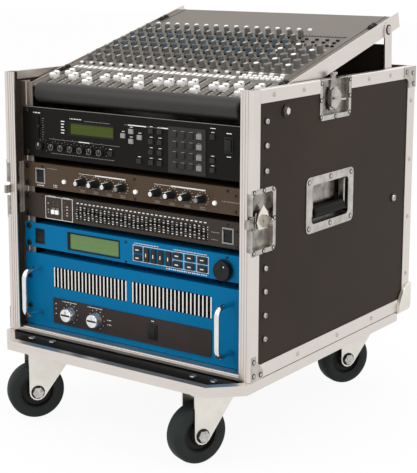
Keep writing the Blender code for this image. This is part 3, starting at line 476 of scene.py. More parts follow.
def flatPlate(name, corners, thickness):
    # a flat plate drawn in its own x and y
    curve = bpy.data.curves.new(name, "CURVE")
    curve.dimensions = "2D"
    curve.fill_mode = "BOTH"
    curve.extrude = thickness / 2
    plate = curvePiece(curve, [(x, y, 0) for x, y in corners])
    plate.location = (0, 0, thickness / 2)
    applyPlace(plate)
    roundEdges(plate, 0.35, 2, 50)
    return plate


# fasteners
outward = {1: Matrix.Rotation(pi / 2, 4, "Y"), -1: Matrix.Rotation(-pi / 2, 4, "Y")}


def domeModel(radius, height, sides=16):
    profile = [(0, radius), (height * 0.35, radius), (height * 0.75, radius * 0.72), (height, radius * 0.3)]
    return turned("dome", profile + [(height, 0)], "Z", sides)


def ringModel(radius, inner, height, sides=24):
    profile = [(0, radius), (height, radius), (height * 1.2, inner), (0, inner), (0, radius)]
    return turned("ring", profile, "Z", sides)


def crossScrewModel(radius, height):
    profile = [(0, radius), (height * 0.4, radius), (height * 0.85, radius * 0.8), (height, radius * 0.45)]
    screw = turned("screw", profile + [(height, 0)], "Z", 24)
    for turn in (0, pi / 2):
        bpy.ops.mesh.primitive_cube_add(size=1, location=(0, 0, height), rotation=(0, 0, turn))
        slot = bpy.context.object
        slot.scale = (radius * 1.1, radius * 0.22, height * 0.9)
        applyPlace(slot)
        cutOut(screw, slot)
    dropSlivers(screw)
    return screw


def hexBoltModel(radius, height):
    bolt = newDrum("bolt", (0, 0, 1.2), height, radius, "Z", 6)
    roundEdges(bolt, radius * 0.08, 1)
    washer = turned("washer", [(0, radius * 1.45), (1.2, radius * 1.45), (1.3, radius * 1.2), (1.3, 0)], "Z", 24)
    return joinPieces("bolt", [washer, bolt])


def wallPlaces(spots, x, sides=(1, -1)):
    # places at (y, z) on a wall to the right and left, standing outward
    return [Matrix.Translation((side * x, y, z)) @ outward[side] for y, z in spots for side in sides]


rivets = {
    "radius": 3.2, "height": 1.6, "bottomZ": 12, "bottomY": (143, 275, 401), "topZ": 453,
    "topY": (60, 150, 370, 450), "postY": 535, "postZ": (70, 180, 290, 400), "rearX": (-150, 0, 150),
    "rearPostX": (-244, 244), "ring": (4.3, 3, 0.5),
}
railBolts = {"radius": 4.6, "height": 3.2, "y": 41, "z": (413, 375, 335, 179, 141, 102, 63), "x": 259}
guideBolts = {"radius": 6.2, "height": 4.4, "spots": [(475, 225)], "ringX": 258.1, "ring": (6, 3.6, 1.2)}


def addFasteners():
    r = rivets
    spots = [(y, r["bottomZ"]) for y in r["bottomY"]] + [(y, r["topZ"]) for y in r["topY"]]
    spots = wallPlaces(spots + [(r["postY"], z) for z in r["postZ"]], case["wallX"])
    spread("caseRivets", domeModel(r["radius"], r["height"]), spots, "boltSteel", "steel")
    spread("rivetRings", ringModel(*r["ring"]), spots, "braceSteel", "steel")
    b, g = railBolts, guideBolts
    bolts = [(b["y"], z) for z in b["z"]]
    spread("railBolts", crossScrewModel(b["radius"], b["height"]), wallPlaces(bolts, b["x"]), "boltSteel", "steel")
    guides = wallPlaces(g["spots"], b["x"])
    spread("guideBolts", crossScrewModel(g["radius"], g["height"]), guides, "boltSteel", "steel")
    # dark washers under the bolt heads, with painted shadow round the heads
    larger = [spot @ Matrix.Scale(1.4, 4) for spot in wallPlaces(g["spots"], g["ringX"])]
    spread("boltWashersAndShadows", ringModel(*g["ring"]), wallPlaces(bolts, g["ringX"]) + larger, "darkSteel", "steel")
    rear = [(x, z) for x in r["rearPostX"] for z in r["postZ"]]
    rear += [(x, z) for x in r["rearX"] for z in (r["bottomZ"], r["topZ"])]
    rear = [Matrix.Translation((x, case["rearY"], z)) @ Matrix.Rotation(-pi / 2, 4, "X") for x, z in rear]
    spread("rearRivets", domeModel(r["radius"], r["height"]), rear, "boltSteel", "steel")


addFasteners()
print("fasteners placed")

# the braces' corners and holes, at (y, z) on the side walls
sideways = {side: Matrix(((0, 0, side, 0), (1, 0, 0, 0), (0, 1, 0, 0), (0, 0, 0, 1))) for side in (1, -1)}
braces = {
    "frontBottom": ([(0.5, 0.5), (34, 0.5), (34, 14), (25, 24), (14, 34), (14, 41), (0.5, 41)],
                    [(7, 33), (7, 10), (27, 8)]),
    "rearTop": ([(549.5, 463.5), (549.5, 424), (523, 424), (521, 434), (514, 441), (503, 443), (503, 463.5)],
                [(541, 431), (537, 451), (512, 454)]),
}
braceThickness = 1.2


def addBrace(name, side, corners, holes):
    word = "Right" if side > 0 else "Left"
    plate = flatPlate(name, corners, braceThickness)
    heads = [Matrix.Translation((y, z, braceThickness)) for y, z in holes]
    brace = joinPieces("%sBrace%s" % (name, word), [plate, scatter(domeModel(3.4, 1.7), "heads", heads)])
    brace.matrix_world = Matrix.Translation((side * case["wallX"], 0, 0)) @ sideways[side]
    applyPlace(brace)
    if side < 0:
        brace.data.flip_normals()
    settle(brace, "braceSteel")
    # painted shadow: dark rings round the brace's rivet heads
    rings = wallPlaces(holes, case["wallX"] + braceThickness, (side,))
    spread(name + "Rings", ringModel(4.6, 3.2, 0.6), rings, "darkSteel", "steel")


for braceName, (corners, holes) in braces.items():
    for side in (1, -1):
        addBrace(braceName, side, corners, holes)
print("braces placed")


def standing(points):
    return [Matrix.Translation(point) for point in points]


# latches, in a latch's own space
latch = {
    "rivet": (2.6, 1.3), "ring": (4, 2.4, 0.5), "edge": 47.8, "face": 9.8, "wingX": -34, "wingZ": 7.4,
    "wing": [(0, -26), (13, -12), (18, 1), (13, 13), (-13, 13), (-18, 1), (-13, -12)],
    "hub": [(7.2, 9.5), (8, 9.5), (8.6, 8.6), (8.6, 4.5), (9.4, 4), (9.4, 0)],
}


def dressLatch(place):
    space, wing = latchSpace(place), "wing_" + place
    edge, face = latch["edge"], latch["face"]
    spots = [(x, side * edge, face) for x in (-6, -62) for side in (1, -1)]
    spots = standing(spots + [(-65, 0, face), (-34, edge + 0.6, face), (-34, -edge - 0.6, face)])
    spread("latchRivets_" + place, domeModel(*latch["rivet"]), spots, "boltSteel", "steel", space=space)
    guides = [newBlock("rail", (-55, y - 1, 1.8), (-3, y + 1, 5), 0.3) for y in (8.2, -8.2)]
    guides += [newBlock("strap", (x - 3, -14, 4.9), (x + 3, 14, 6.1), 0.4) for x in (-50, -18)]
    settle(joinPieces("latchGuide_" + place, guides), "nickel", space=space)
    plate = flatPlate("latchWingPlate_" + place, latch["wing"], 1.4)
    plate.location = (latch["wingX"], 0, latch["wingZ"])
    applyPlace(plate)
    settle(plate, "zinc" if place.startswith("front") else "nickel", wing)
    # painted shadow: dark rings round the latch rivets
    spread("latchShadowRings_" + place, ringModel(*latch["ring"]), spots, "darkSteel", "steel", space=space)
    hub = turned("latchHub_" + place, latch["hub"], "Z", 32)
    hub.location = (latch["wingX"], 0, 0)
    applyPlace(hub)
    settle(hub, "nickel", wing)


for place in ("front_right", "front_left", "top_right", "top_left"):
    dressLatch(place)
print("latches dressed")

# carrying handles: the bar in its own space, round the pins
handle = {
    "drop": 41, "arm": 56, "grip": [(50, 0), (50, 8.4), (48.6, 10.2)], "rivetX": 259.8,
    "rivetY": (-70, 70), "rivetZ": (219, 297), "middleZ": (219, 299),
}


def dressHandle(side, word):
    ends = handle["grip"]
    grip = turned("handleGrip_" + word, [(-y, r) for y, r in ends] + [(y, r) for y, r in reversed(ends)], "Y", 32)
    grip.location = (0.7, 0, -handle["drop"])
    applyPlace(grip)
    arms = []
    for end in (1, -1):
        low, high = sorted((end * 51.6, end * handle["arm"]))
        arms.append(newBlock("arm", (-5.2, low, -handle["drop"] - 6.2), (6.2, high, 5.2), 1.2, 3))
        arms.append(newDrum("pin", (0, -62.4 if end < 0 else 55, 0), 7.4, 3, "Y", 16))
    bar = joinPieces("handleArms_" + word, arms)
    for piece, finish, slot in ((grip, "gripRubber", "rubber"), (bar, "nickel", "steel")):
        if side < 0:
            piece.data.flip_normals()
        settle(piece, finish, "handle_" + word)
    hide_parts("handle_bar_" + word)
    y = handleSpot[1]
    spots = [(y + dy, z) for dy in handle["rivetY"] for z in handle["rivetZ"]]
    spots = wallPlaces(spots + [(y, z) for z in handle["middleZ"]], handle["rivetX"], (side,))
    spread("handleRivets_" + word, domeModel(3.2, 1.5), spots, "boltSteel", "steel")
    # painted shadow: dark rings round the handle rivets
    spread("handleRings_" + word, ringModel(4.4, 3, 0.5), spots, "darkSteel", "steel")


dressHandle(1, "right")
dressHandle(-1, "left")
print("handles made")

# wheels and casters: half profiles of tyre and hub, from the outside to the middle
caster = {
    "trail": 26, "axleZ": -97, "forkX": 20.4, "plateZ": -15.7,
    "tyre": [(14.6, 30.5), (16, 33), (16, 43.5), (14.6, 46.6), (12, 48.9), (7.5, 49.9)],
    "hub": [(14.4, 30.8), (15.2, 29.6), (15.2, 28), (9.5, 26), (9, 17.5), (13.5, 14.5),
            (17.2, 13), (17.2, 6.5)],
    "race": [(-32.5, 0), (-32.5, 15), (-29.2, 24), (-29.2, 33), (-27, 35.5), (-23, 35.5), (-20.6, 33),
             (-20.6, 0)],
    "nutEnd": [(5, 6.4), (7, 6.4), (7.5, 5.6), (7.5, 0)],
    "boardScrews": [(-190.7, -17.8), (-146, -14.4), (161.6, -19.9), (202.9, -20.2)],
}


def bothHalves(half, middle=()):
    return [(-x, r) for x, r in half] + list(middle) + half[::-1] + [(-half[0][0], half[0][1])]


def dressCaster(place):
    wheel, swivel = "wheel_" + place, "swivel_" + place
    tyre = turned("tyre_" + place, bothHalves(caster["tyre"], [(0, 50)]), "X", 72)
    hub = turned("hub_" + place, bothHalves(caster["hub"]), "X", 48)
    for piece, finish in ((tyre, "tyreRubber"), (hub, "hubPlastic")):
        piece.location = (0, -caster["trail"], caster["axleZ"])
        applyPlace(piece)
        settle(piece, finish, wheel)
    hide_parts("caster_wheel_" + place)
    settle(turned("ballRace_" + place, caster["race"]), "zinc", swivel)
    axle = wallPlaces([(-caster["trail"], caster["axleZ"])], caster["forkX"])
    spread("axleRings_" + place, ringModel(12.2, 7, 0.9, 28), axle, "darkSteel", "steel", swivel)
    nut = newDrum("nut", (0, 0, 0.5), 5, 10.4, "Z", 6)
    roundEdges(nut, 0.7)
    nut = joinPieces("nut", [nut, turned("end", caster["nutEnd"], "Z", 20)])
    spread("axleNuts_" + place, nut, axle, "boltSteel", "steel", swivel)
    x, y, _ = casterSpots[place]
    low = caster["plateZ"] - 2.5
    bolts = standing([(x + dx, y + dy, low) for dx in (-33, 33) for dy in (-25, 25)])
    bolts = [spot @ Matrix.Rotation(pi, 4, "X") for spot in bolts]
    spread("plateBolts_" + place, hexBoltModel(5.2, 4), bolts, "boltSteel", "steel")
    corners = (x - 40.4, y - 32.4, low - 0.3), (x + 40.4, y + 32.4, caster["plateZ"])
    settle(newBlock("casterPlate_" + place, *corners, 0.8), "zinc")


for place in casterSpots:
    dressCaster(place)
boardSpots = standing([(x, y, -2.1) for x, y in caster["boardScrews"]])
spread("boardScrews", crossScrewModel(6, 2.4), boardSpots, "boltSteel", "steel")
print("casters dressed")


def facing(x, z, y=case["faceY"]):
    # a model that stands on its z = 0 turned to face the front
    return Matrix.Translation((x, y, z)) @ Matrix.Rotation(pi / 2, 4, "X")


screwRises = {
    "processor": (7, 81), "compressor": (6.5, 37.2), "equaliser": (6.5, 37.2), "multi": (6.5, 37.2),
    "amplifier": (34.6, 89.8),
}
screwSpots = [facing(side * 231.5, unitFloor[unit] + rise)
              for unit, rises in screwRises.items() for rise in rises for side in (1, -1)]
spread("rackScrews", crossScrewModel(5, 3), screwSpots, "darkSteel", "steel")


def keyModel(width, height, rise, bevel=0.7):
    return newBlock("key", (-width / 2, -height / 2, -0.6), (width / 2, height / 2, rise), bevel)


def bordered(x0, z0, x1, z1, width):
    # four bars round the inside of a rectangle
    return [(x0, z0, x1, z0 + width), (x0, z1 - width, x1, z1),
            (x0, z0 + width, x0 + width, z1 - width), (x1 - width, z0 + width, x1, z1 - width)]


def dashes(x0, x1, z0, z1, step=3.4):
    # a row of short broken marks where the photograph has small print
    return [(x0 + step * n, z0, x0 + step * (n + 0.45 + 0.3 * abs(sin(n * 1.7))), z1)
            for n in range(int((x1 - x0) / step))]


def grid(firstX, pitchX, columns, firstZ, pitchZ, rows):
    return [(firstX + pitchX * column, firstZ + pitchZ * row) for column in range(columns) for row in range(rows)]


class Unit:
    # a rack unit's face: x from the case's middle, z up from the unit's own floor
    def __init__(self, name):
        self.name = name
        self.floor = unitFloor[name]

    def spots(self, places, y=case["faceY"]):
        return [facing(x, self.floor + z, y) for x, z in places]

    def around(self, places, radius, first, step, count, y=case["faceY"]):
        # places round each knob, clockwise from its top
        out = Matrix.Translation((0, 0, radius)) @ Matrix.Rotation(pi / 2, 4, "X")
        turns = [Matrix.Rotation(radians(first + step * n), 4, "Y") for n in range(count)]
        return [Matrix.Translation((x, y, self.floor + z)) @ turn @ out for x, z in places for turn in turns]

    def spread(self, name, model, places, finish, slot="black_plastic", smooth=True):
        spread(self.name + name, model, self.spots(places), finish, slot, smooth=smooth)

    def keys(self, name, places, finish, *size):
        self.spread(name, keyModel(*size), places, finish)

    def knobs(self, name, places, radius, length, mark):
        # a skirt, a slightly tapered body and a flat top, with a pointer line
        profile = [(0, radius), (length * 0.12, radius), (length * 0.2, radius * 0.88),
                   (length * 0.92, radius * 0.84), (length, radius * 0.74), (length, 0)]
        knob = turned("knob", profile, "Z", 28)
        pointer = newBlock("pointer", (-radius * 0.08, radius * 0.1, length - 0.3),
                           (radius * 0.08, radius * 0.72, length + 0.25))
        self.spread(name, knob, places, "blackPlastic")
        self.spread(name + "Marks", pointer, places, mark)

    def ticks(self, name, spots, width, height, finish):
        tick = newBlock("tick", (-width / 2, -height / 2, -0.1), (width / 2, height / 2, 0.15))
        spread(self.name + name, tick, spots, finish, smooth=False)

    def strips(self, name, strips, finish, rise, plane=case["faceY"]):
        # thin printed or inlaid bars: (x0, z0, x1, z1)
        bars = [newBlock("bar", (x0, plane - rise, self.floor + z0), (x1, plane + 0.2, self.floor + z1))
                for x0, z0, x1, z1 in strips]
        settle(joinPieces(self.name + name, bars), finish, smooth=False)

    def block(self, name, low, high, *bevel):
        (x0, y0, z0), (x1, y1, z1) = low, high
        return newBlock(self.name + name, (x0, y0, self.floor + z0), (x1, y1, self.floor + z1), *bevel)

    def rim(self, name, x, z, width, height, finish, rise, wall=2.6):
        # a frame round a rocker switch
        x0, x1, z0, z1 = x - width / 2, x + width / 2, z - height / 2, z + height / 2
        rim = self.block(name, (x0, case["faceY"] - rise, z0), (x1, case["faceY"] + 0.3, z1), 1)
        cutOut(rim, self.block("Hole", (x0 + wall, 0, z0 + wall), (x1 - wall, 60, z1 - wall)))
        dropSlivers(rim)
        settle(rim, finish)

    def domes(self, name, places, radius, height, sides, finish="darkSteel", slot="steel", y=case["faceY"]):
        spread(self.name + name, domeModel(radius, height, sides), self.spots(places, y), finish, slot)


# effects processor
processor = {
    "volume": [(-194, 21)], "knobs": grid(-166, 21.6, 6, 21.5, 0, 1), "key": (9.4, 8.2, 2.8),
    "columns": grid(44.7, 18.1, 2, 14, 17.4, 4), "digits": grid(93, 16.5, 4, 14, 17, 4),
    "arrows": [(-14, 53.5), (3, 62), (3, 45.5), (21, 53.5)], "power": [(199, 56)],
    "others": [(-42, 20.5), (20, 14), (168, 13.5), (168, 29), (168, 67)], "keyLift": 6.6,
    "bright": [(-112, 33.2, -88, 34.8), (-4, 71.4, 34, 73), (58, 72, 86, 73.6),
               (194, 74, 204, 75.4), (195, 37, 203, 38.2), (163, 80, 173, 81)],
    "faint": [(-180, 33.6, -22, 34.2), (-12, 71.8, 114, 72.4), (-240, 87, 240, 87.8)],
}


def dressProcessor():
    p, unit = processor, Unit("processor")
    unit.knobs("Volume", p["volume"], 8.6, 13.5, "print")
    unit.knobs("Knobs", p["knobs"], 6.9, 12.5, "dimPrint")
    # a pale ring round each knob's top edge: a silvery rim with a painted highlight
    ring = turned("ring", [(12.35, 5.3), (12.65, 5.2), (12.65, 4.7), (12.4, 4.6)], "Z", 24)
    unit.spread("KnobRimsAndHighlights", ring, p["knobs"], "greyPlastic")
    ticks = unit.around(p["knobs"], 9.2, -135, 45, 7) + unit.around(p["volume"], 11.2, -140, 35, 9)
    unit.ticks("Ticks", ticks, 1.1, 1.7, "dimPrint")
    unit.keys("Arrows", p["arrows"], "paleKey", *p["key"])
    darkKeys = p["columns"] + p["others"]
    unit.keys("Keys", darkKeys, "keyPlastic", *p["key"])
    settle(unit.block("Pad", (80.2, 23.6, 1.7), (154.8, 25.1, 77.3), 0.3), "padPanel")
    unit.keys("Digits", p["digits"][:12], "keyPlastic", 10.4, 8.8, 3.4)
    unit.keys("PaleKeys", p["digits"][12:], "greyPlastic", 10.4, 8.8, 3.4)
    unit.rim("PowerFrame", *p["power"][0], 17, 26, "blackPlastic", 1.4)
    unit.keys("Power", p["power"], "blackPlastic", 11.8, 18.8, 3.8)
    unit.keys("Slider", [(-202, 55)], "blackPlastic", 7, 5, 4.6)
    unit.strips("Slot", [(-203.4, 35, -200.6, 71)], "hubPlastic", 0.1, 27)
    screen = unit.block("Screen", (-130.8, 25.4, 46.2), (-36.2, 26.1, 64.8), 0.2)
    settle(screen, "greenScreen", smooth=False)
    unit.strips("ScreenEdge", bordered(-134.5, 43.2, -32.5, 67.8, 3), "hubPlastic", 0.7)
    bright = [(x - 3, z + p["keyLift"], x + 3, z + p["keyLift"] + 1) for x, z in darkKeys + p["arrows"]]
    bright += [(-152, z, -144 - z % 3, z + 1.6) for z in (46, 51, 56, 61, 66)]
    bright += dashes(-132, -104, 72, 73.4) + dashes(-216, -196, 76.5, 78.5)
    unit.strips("Marks", p["bright"] + bright, "print", 0.14)
    faint = [(-196, 36 + 4 * n, -193.5 + n % 3, 36.6 + 4 * n) for n in range(9)]
    faint += [(x - 4, 33.8, x - 3.4, 36.5) for x, z in p["knobs"]]
    faint += dashes(-100, -40, 70.2, 71.2) + dashes(-176, -30, 8.6, 9.6)
    unit.strips("FaintMarks", p["faint"] + faint, "dimPrint", 0.12)
    unit.strips("DigitMarks", [(x - 3.4, z + 5.2, x + 3.4, z + 6.2) for x, z in p["digits"]], "dimPrint", 0.2, 23.6)


# compressor
compressor = {
    "knobs": grid(-104.5, 29.5, 4, 19.9, 0, 1) + grid(57, 30.5, 4, 19.9, 0, 1), "length": 20,
    "lampX": (-146, 11.8, 173), "screws": [(9, 37), (10, 3.4), (197, 38), (-197, 38), (213, 31.5), (213, 5.7)],
    "bars": [(-77, 32.6, -10.5, 34.8), (85, 32.6, 154, 34.8), (-113, 33.4, -77, 34), (50, 33.4, 85, 34)],
}


def dressCompressor():
    c, unit = compressor, Unit("compressor")
    knobs, length = c["knobs"], c["length"]
    profile = [(0, 7.3), (2.4, 7.3), (3.2, 6.7), (length - 1, 5.9), (length, 5), (length, 0)]
    unit.spread("Knobs", turned("body", profile, "Z", 28), knobs, "blackPlastic")
    capProfile = [(length - 0.3, 3.9), (length + 0.4, 3.9), (length + 0.8, 3.3), (length + 0.8, 0)]
    grey = knobs[3::4]
    bright = [spot for spot in knobs if spot not in grey]
    unit.spread("Caps", turned("cap", capProfile, "Z", 24), bright, "chromePlate")
    unit.spread("GreyCaps", turned("cap", capProfile, "Z", 24), grey, "greyPlastic")
    pointer = newBlock("pointer", (-0.65, 5.2, 3.2), (0.65, 7, length + 0.3))
    unit.spread("Pointers", pointer, knobs, "print", smooth=False)
    unit.ticks("Ticks", unit.around(knobs, 11.3, -140, 28, 11), 1.1, 1.1, "print")
    button = turned("button", [(0, 3.9), (3.2, 3.8), (4, 3), (4, 0)], "Z", 24)
    unit.spread("Buttons", button, [(x, 16) for x in c["lampX"]], "whitePlastic", None)
    unit.domes("Lamps", [(x, 22.6) for x in c["lampX"]], 1.5, 1.3, 12, "redLamp", None)
    unit.rim("RockerRim", -202, 20.8, 23, 28, "paleKey", 1.3)
    small = dashes(-172, -160, 6.6, 7.8) + dashes(-172, -160, 3.6, 4.8) + dashes(-210, -193, 3, 4.6)
    unit.strips("Bars", c["bars"] + small, "print", 0.2)
    faint = [(x - 5.5, z, x + 5.5, z + 0.9) for x, _ in knobs for z in (5.2, 2.4)]
    faint += dashes(186, 222, 19.5, 21) + dashes(-186, -162, 35, 36.4)
    unit.strips("Marks", faint, "dimPrint", 0.14)
    unit.domes("Screws", c["screws"], 2.6, 1.2, 14)


# graphic equaliser
equaliser = {
    "firstX": -116, "pitch": 9, "bands": 31, "capZ": 18.5, "swing": 4.5, "plane": 26.5,
    "dashZ": (8, 12, 16, 20, 24, 28), "box": (-191, 1, -128, 41.3), "boxMiddle": -152.3,
    "labels": [(-184, 40, -168, 42.2), (-150, 40, -136, 42.2)],
    "screws": [(197.7, 37.6), (215, 29), (215, 4), (-197.9, 39.4)],
}


def dressEqualiser():
    e, unit = equaliser, Unit("equaliser")
    bandX = [e["firstX"] + e["pitch"] * band for band in range(e["bands"])]
    unit.strips("Slots", [(x - 1.5, 6.4, x + 1.5, 31.4) for x in bandX], "hubPlastic", 0.2, e["plane"])
    between = [x + e["pitch"] / 2 for x in [bandX[0] - e["pitch"]] + bandX]
    # one dash in three is faint
    marks = [(x, z, (n + row * 2) % 3 == 1) for n, x in enumerate(between) for row, z in enumerate(e["dashZ"])]
    bright = [(x - 1.7, z, x + 1.7, z + 1.5) for x, z, faint in marks if not faint]
    unit.strips("Dashes", bright, "print", 0.16, e["plane"])
    faint = [(x - 1.6, z, x + 1.6, z + 1.2) for x, z, faint in marks if faint]
    unit.strips("FaintDashes", faint, "dimPrint", 0.14, e["plane"])
    caps = [(x, e["capZ"] + e["swing"] * sin(band * 0.55) * cos(band * 0.21)) for band, x in enumerate(bandX)]
    unit.spread("Caps", newBlock("cap", (-2.7, -3, -0.5), (2.7, 3, 4.6), 0.6), caps, "blackPlastic")
    onCaps = [spot @ Matrix.Translation((0, 0, 4.55)) for spot in unit.spots(caps)]
    unit.ticks("CapMarks", onCaps, 3.4, 1, "print")
    left, low, right, high = e["box"]
    middle = (e["boxMiddle"] - 0.4, low, e["boxMiddle"] + 0.4, high)
    unit.strips("Box", bordered(left, low, right, high, 0.8) + [middle] + e["labels"], "print", 1)
    unit.keys("Keys", [(x, 14.6) for x in (-172.6, -163.2)], "whitePlastic", 7.2, 7.6, 3.8)
    lamps = [(x, z) for x in (-172, -163) for z in (27, 32)] + [(-146, z) for z in (12, 19, 26, 33)]
    unit.domes("Lamps", lamps, 1.4, 1.2, 12, "redLamp", None, 24.4)
    marks = [(x - 2.2, 35.4, x + 2.2, 37) for x in bandX]
    marks += [(-142, z, -138.5, z + 1.2) for z in (26, 21, 15, 10.5)]
    unit.strips("Marks", marks + [(-185.5, z, -183.5, z + 1.2) for z in (12, 17, 28)], "print", 1)
    faint = [(-176, 20, -169, 21.4), (-166, 20, -160, 21.4)] + dashes(166, 184, 22, 23.4)
    unit.strips("FaintMarks", faint + dashes(166, 182, 10, 11.2), "dimPrint", 1)
    unit.rim("RockerRim", 198.4, 19.8, 22.6, 26.6, "paleKey", 1.3)
    unit.domes("Screws", e["screws"], 2.6, 1.2, 14)


# multi-effect unit
multi = {
    "pair": [(15.5, 27), (15.5, 13)], "tall": [(x, 20) for x in (34, 49, 64, 80)],
    "wide": [(x, z) for x in (98, 123.5, 149) for z in (28, 13)], "wheel": [(192, 18)],
    "screenEdge": [(-141.2, 5.4, -135.2, 37.2), (-135.2, 5.4, -24, 7.6), (-135.2, 35, -24, 37.2),
                   (-25.8, 7.6, -24, 35)],
    "frame": (4.6, 6.6, 160.6, 34.6), "dividers": (26.4, 88.6, 111, 136.6),
    "screws": [(-10.8, 36.5), (-10.7, 2.6), (197, 39.4)],
    "dial": [(1.4, 16.6), (3, 16.8), (10.5, 16), (11.9, 14.6), (11.5, 12), (11.5, 0)],
}


def dressMulti():
    m, unit = multi, Unit("multi")
    screen = unit.block("Screen", (-136.8, 25.4, 8.2), (-26.2, 26.1, 34.3), 0.2)
    settle(screen, "paleScreen", smooth=False)
    unit.strips("ScreenEdge", m["screenEdge"], "hubPlastic", 0.8)
    unit.keys("Pair", m["pair"], "keyPlastic", 16.5, 10.4, 3, 1.2)
    unit.keys("Tall", m["tall"], "keyPlastic", 11, 24, 3, 1.2)
    unit.keys("Wide", m["wide"], "keyPlastic", 17.5, 10.4, 3, 1.2)
    marks = [(x - 3.4, z - 0.8, x + 3.4, z + 0.9) for x, z in m["pair"] + m["wide"]]
    unit.strips("KeyMarks", marks + [(x - 0.8, z - 3, x + 0.8, z + 3) for x, z in m["tall"]], "print", 0.2, 22)
    _, low, right, high = m["frame"]
    lines = bordered(*m["frame"], 0.8) + [(x - 0.4, low, x + 0.4, high) for x in m["dividers"]]
    lines += [(m["dividers"][1], 20.2, right, 20.9)] + dashes(75, 162, 2.6, 4.4, 4.4)
    unit.strips("Frame", lines + dashes(8, 60, 37, 38.2) + dashes(90, 158, 37, 38.2), "print", 0.16)
    unit.rim("RockerFrame", -206, 21, 21.6, 27.6, "blackPlastic", 1.2)
    unit.domes("Screws", m["screws"], 2.4, 1.1, 14)
    ring = turned("ring", [(0, 18.4), (0.5, 18.4), (0.7, 17.4), (0, 17.2)])
    unit.spread("WheelRing", ring, m["wheel"], "blackPlastic", None)
    dial, spots = turned("dial", m["dial"], "Z", 64), unit.spots(m["wheel"])
    spread("dataWheelCap", dial, spots, "blackPlastic", "black_plastic", "data_wheel")
    mark = newBlock("mark", (4.4, 6.4, 11.3), (6.2, 8.6, 11.8))
    spread("dataWheelMark", mark, spots, "print", "black_plastic", "data_wheel", smooth=False)


# power amplifier
amplifier = {
    "firstSlots": (-169, 8), "pitch": 8.1, "count": 20, "vents": (77, 113), "plateY": 23.4,
    "knobs": [(-136, 33.5), (-76, 33.5)], "plate": (-176.4, 10.8, 167.4, 57.2), "switch": (47, 33),
    "handleX": 206.2, "handleZ": 68, "handleHalf": 40.5, "handleFront": -17, "bend": 14,
    "marks": [(44, 51.4, 50, 52.6)] + [(-170.6, z, -169, z + 2) for z in (28, 37, 46)],
    "gain": [(1.5, 13.2), (4, 13.2), (5.2, 12.4), (14.8, 12.2), (16.2, 11.2), (16.2, 0)],
}


def amplifierPlate(unit):
    # the dark plate behind the knobs, its corners rounded and two holes cut
    x0, z0, x1, z1 = amplifier["plate"]
    plate = unit.block("Plate", (x0, amplifier["plateY"], z0), (x1, 25.1, z1))
    corners = plate.modifiers.new("Corners", "BEVEL")
    corners.width = 3
    corners.segments = 4
    corners.limit_method = "WEIGHT"
    weights = plate.data.attributes.new("bevel_weight_edge", "FLOAT", "EDGE")
    for edge in plate.data.edges:
        first, last = [plate.data.vertices[v].co for v in edge.vertices]
        if abs(first.y - last.y) > 1:
            weights.data[edge.index].value = 1
    applyAll(plate)
    for x, z in amplifier["knobs"]:
        cutOut(plate, newDrum("hole", (x, 20, unit.floor + z), 8, 4.2, "Y"))
    settle(plate, "plateDark")


def handleBar(unit, name, x):
    # a smooth D handle over the CAD's
    z, half = unit.floor + amplifier["handleZ"], amplifier["handleHalf"]
    front, bend = amplifier["handleFront"], amplifier["bend"]
    curve = bpy.data.curves.new(name, "CURVE")
    curve.dimensions = "3D"
    curve.bevel_depth = 4.7
    curve.bevel_resolution = 6
    curve.use_fill_caps = True
    turns = [a * pi / 16 for a in range(9)]
    lower = [(front + bend - bend * sin(a), z - half + bend - bend * cos(a)) for a in turns]
    route = [(26, z - half)] + lower + [(y, 2 * z - up) for y, up in reversed(lower)] + [(26, z + half)]
    settle(curvePiece(curve, [(x, y, up) for y, up in route]), "chromePlate")


def dressAmplifier():
    a, unit = amplifier, Unit("amplifier")
    pitch, (low, high) = a["pitch"], a["vents"]
    # painted shade: a near-black sheet behind the vent bars stands for the dark inside of the openings
    ventShadeAreas = [(first - pitch * 0.5 - 3, low - 0.6, first + pitch * (a["count"] - 0.5) + 0.8, high + 0.6)
               for first in a["firstSlots"]]
    bars = [first + pitch * (slot - 0.5) for first in a["firstSlots"] for slot in range(a["count"] + 1)]
    unit.strips("VentShade", ventShadeAreas, "voidBlack", 0.12)
    unit.strips("VentBars", [(x - 1.15, low + 0.2, x + 1.15, high - 0.2) for x in bars], "print", 0.7)
    amplifierPlate(unit)
    unit.ticks("Ticks", unit.around(a["knobs"], 17, -150, 30, 11, a["plateY"]), 1.3, 1.3, "print")
    x, z = a["switch"]
    switch = unit.block("Switch", (x - 9.6, 21.6, z - 13.5), (x + 9.6, 24.5, z + 13.5), 0.8)
    settle(switch, "blackPlastic")
    rocker = unit.block("Rocker", (x - 6.6, 19.6, z - 9), (x + 6.6, 23, z + 9), 1.4, 3)
    settle(rocker, "blackPlastic")
    marks = dashes(-154, -118, 53, 54.2) + dashes(-96, -60, 53, 54.2)
    marks += dashes(-52, -40, 36, 37.4) + dashes(-52, -40, 28, 29.4)
    unit.strips("Marks", a["marks"] + marks, "print", 0.14, a["plateY"])
    handleBar(unit, "amplifierHandleRight", a["handleX"])
    handleBar(unit, "amplifierHandleLeft", -a["handleX"])
    for spot, node in zip(unit.spots(a["knobs"]), ("gain_knob_left", "gain_knob_right")):
        spread(node + "Cap", turned("gain", a["gain"]), [spot], "chromePlate", "chrome", node)
        # painted shadow: a dark bar across each gain knob's face stands for the shade under its grip ridge
        mark = newBlock("mark", (-9.6, -1.5, 16), (9.6, 1.5, 16.9), 0.3)
        spread(node + "Mark", mark, [spot], "blackPlastic", "chrome", node)


dressProcessor()
dressCompressor()
dressEqualiser()
dressMulti()
dressAmplifier()
print("units dressed")

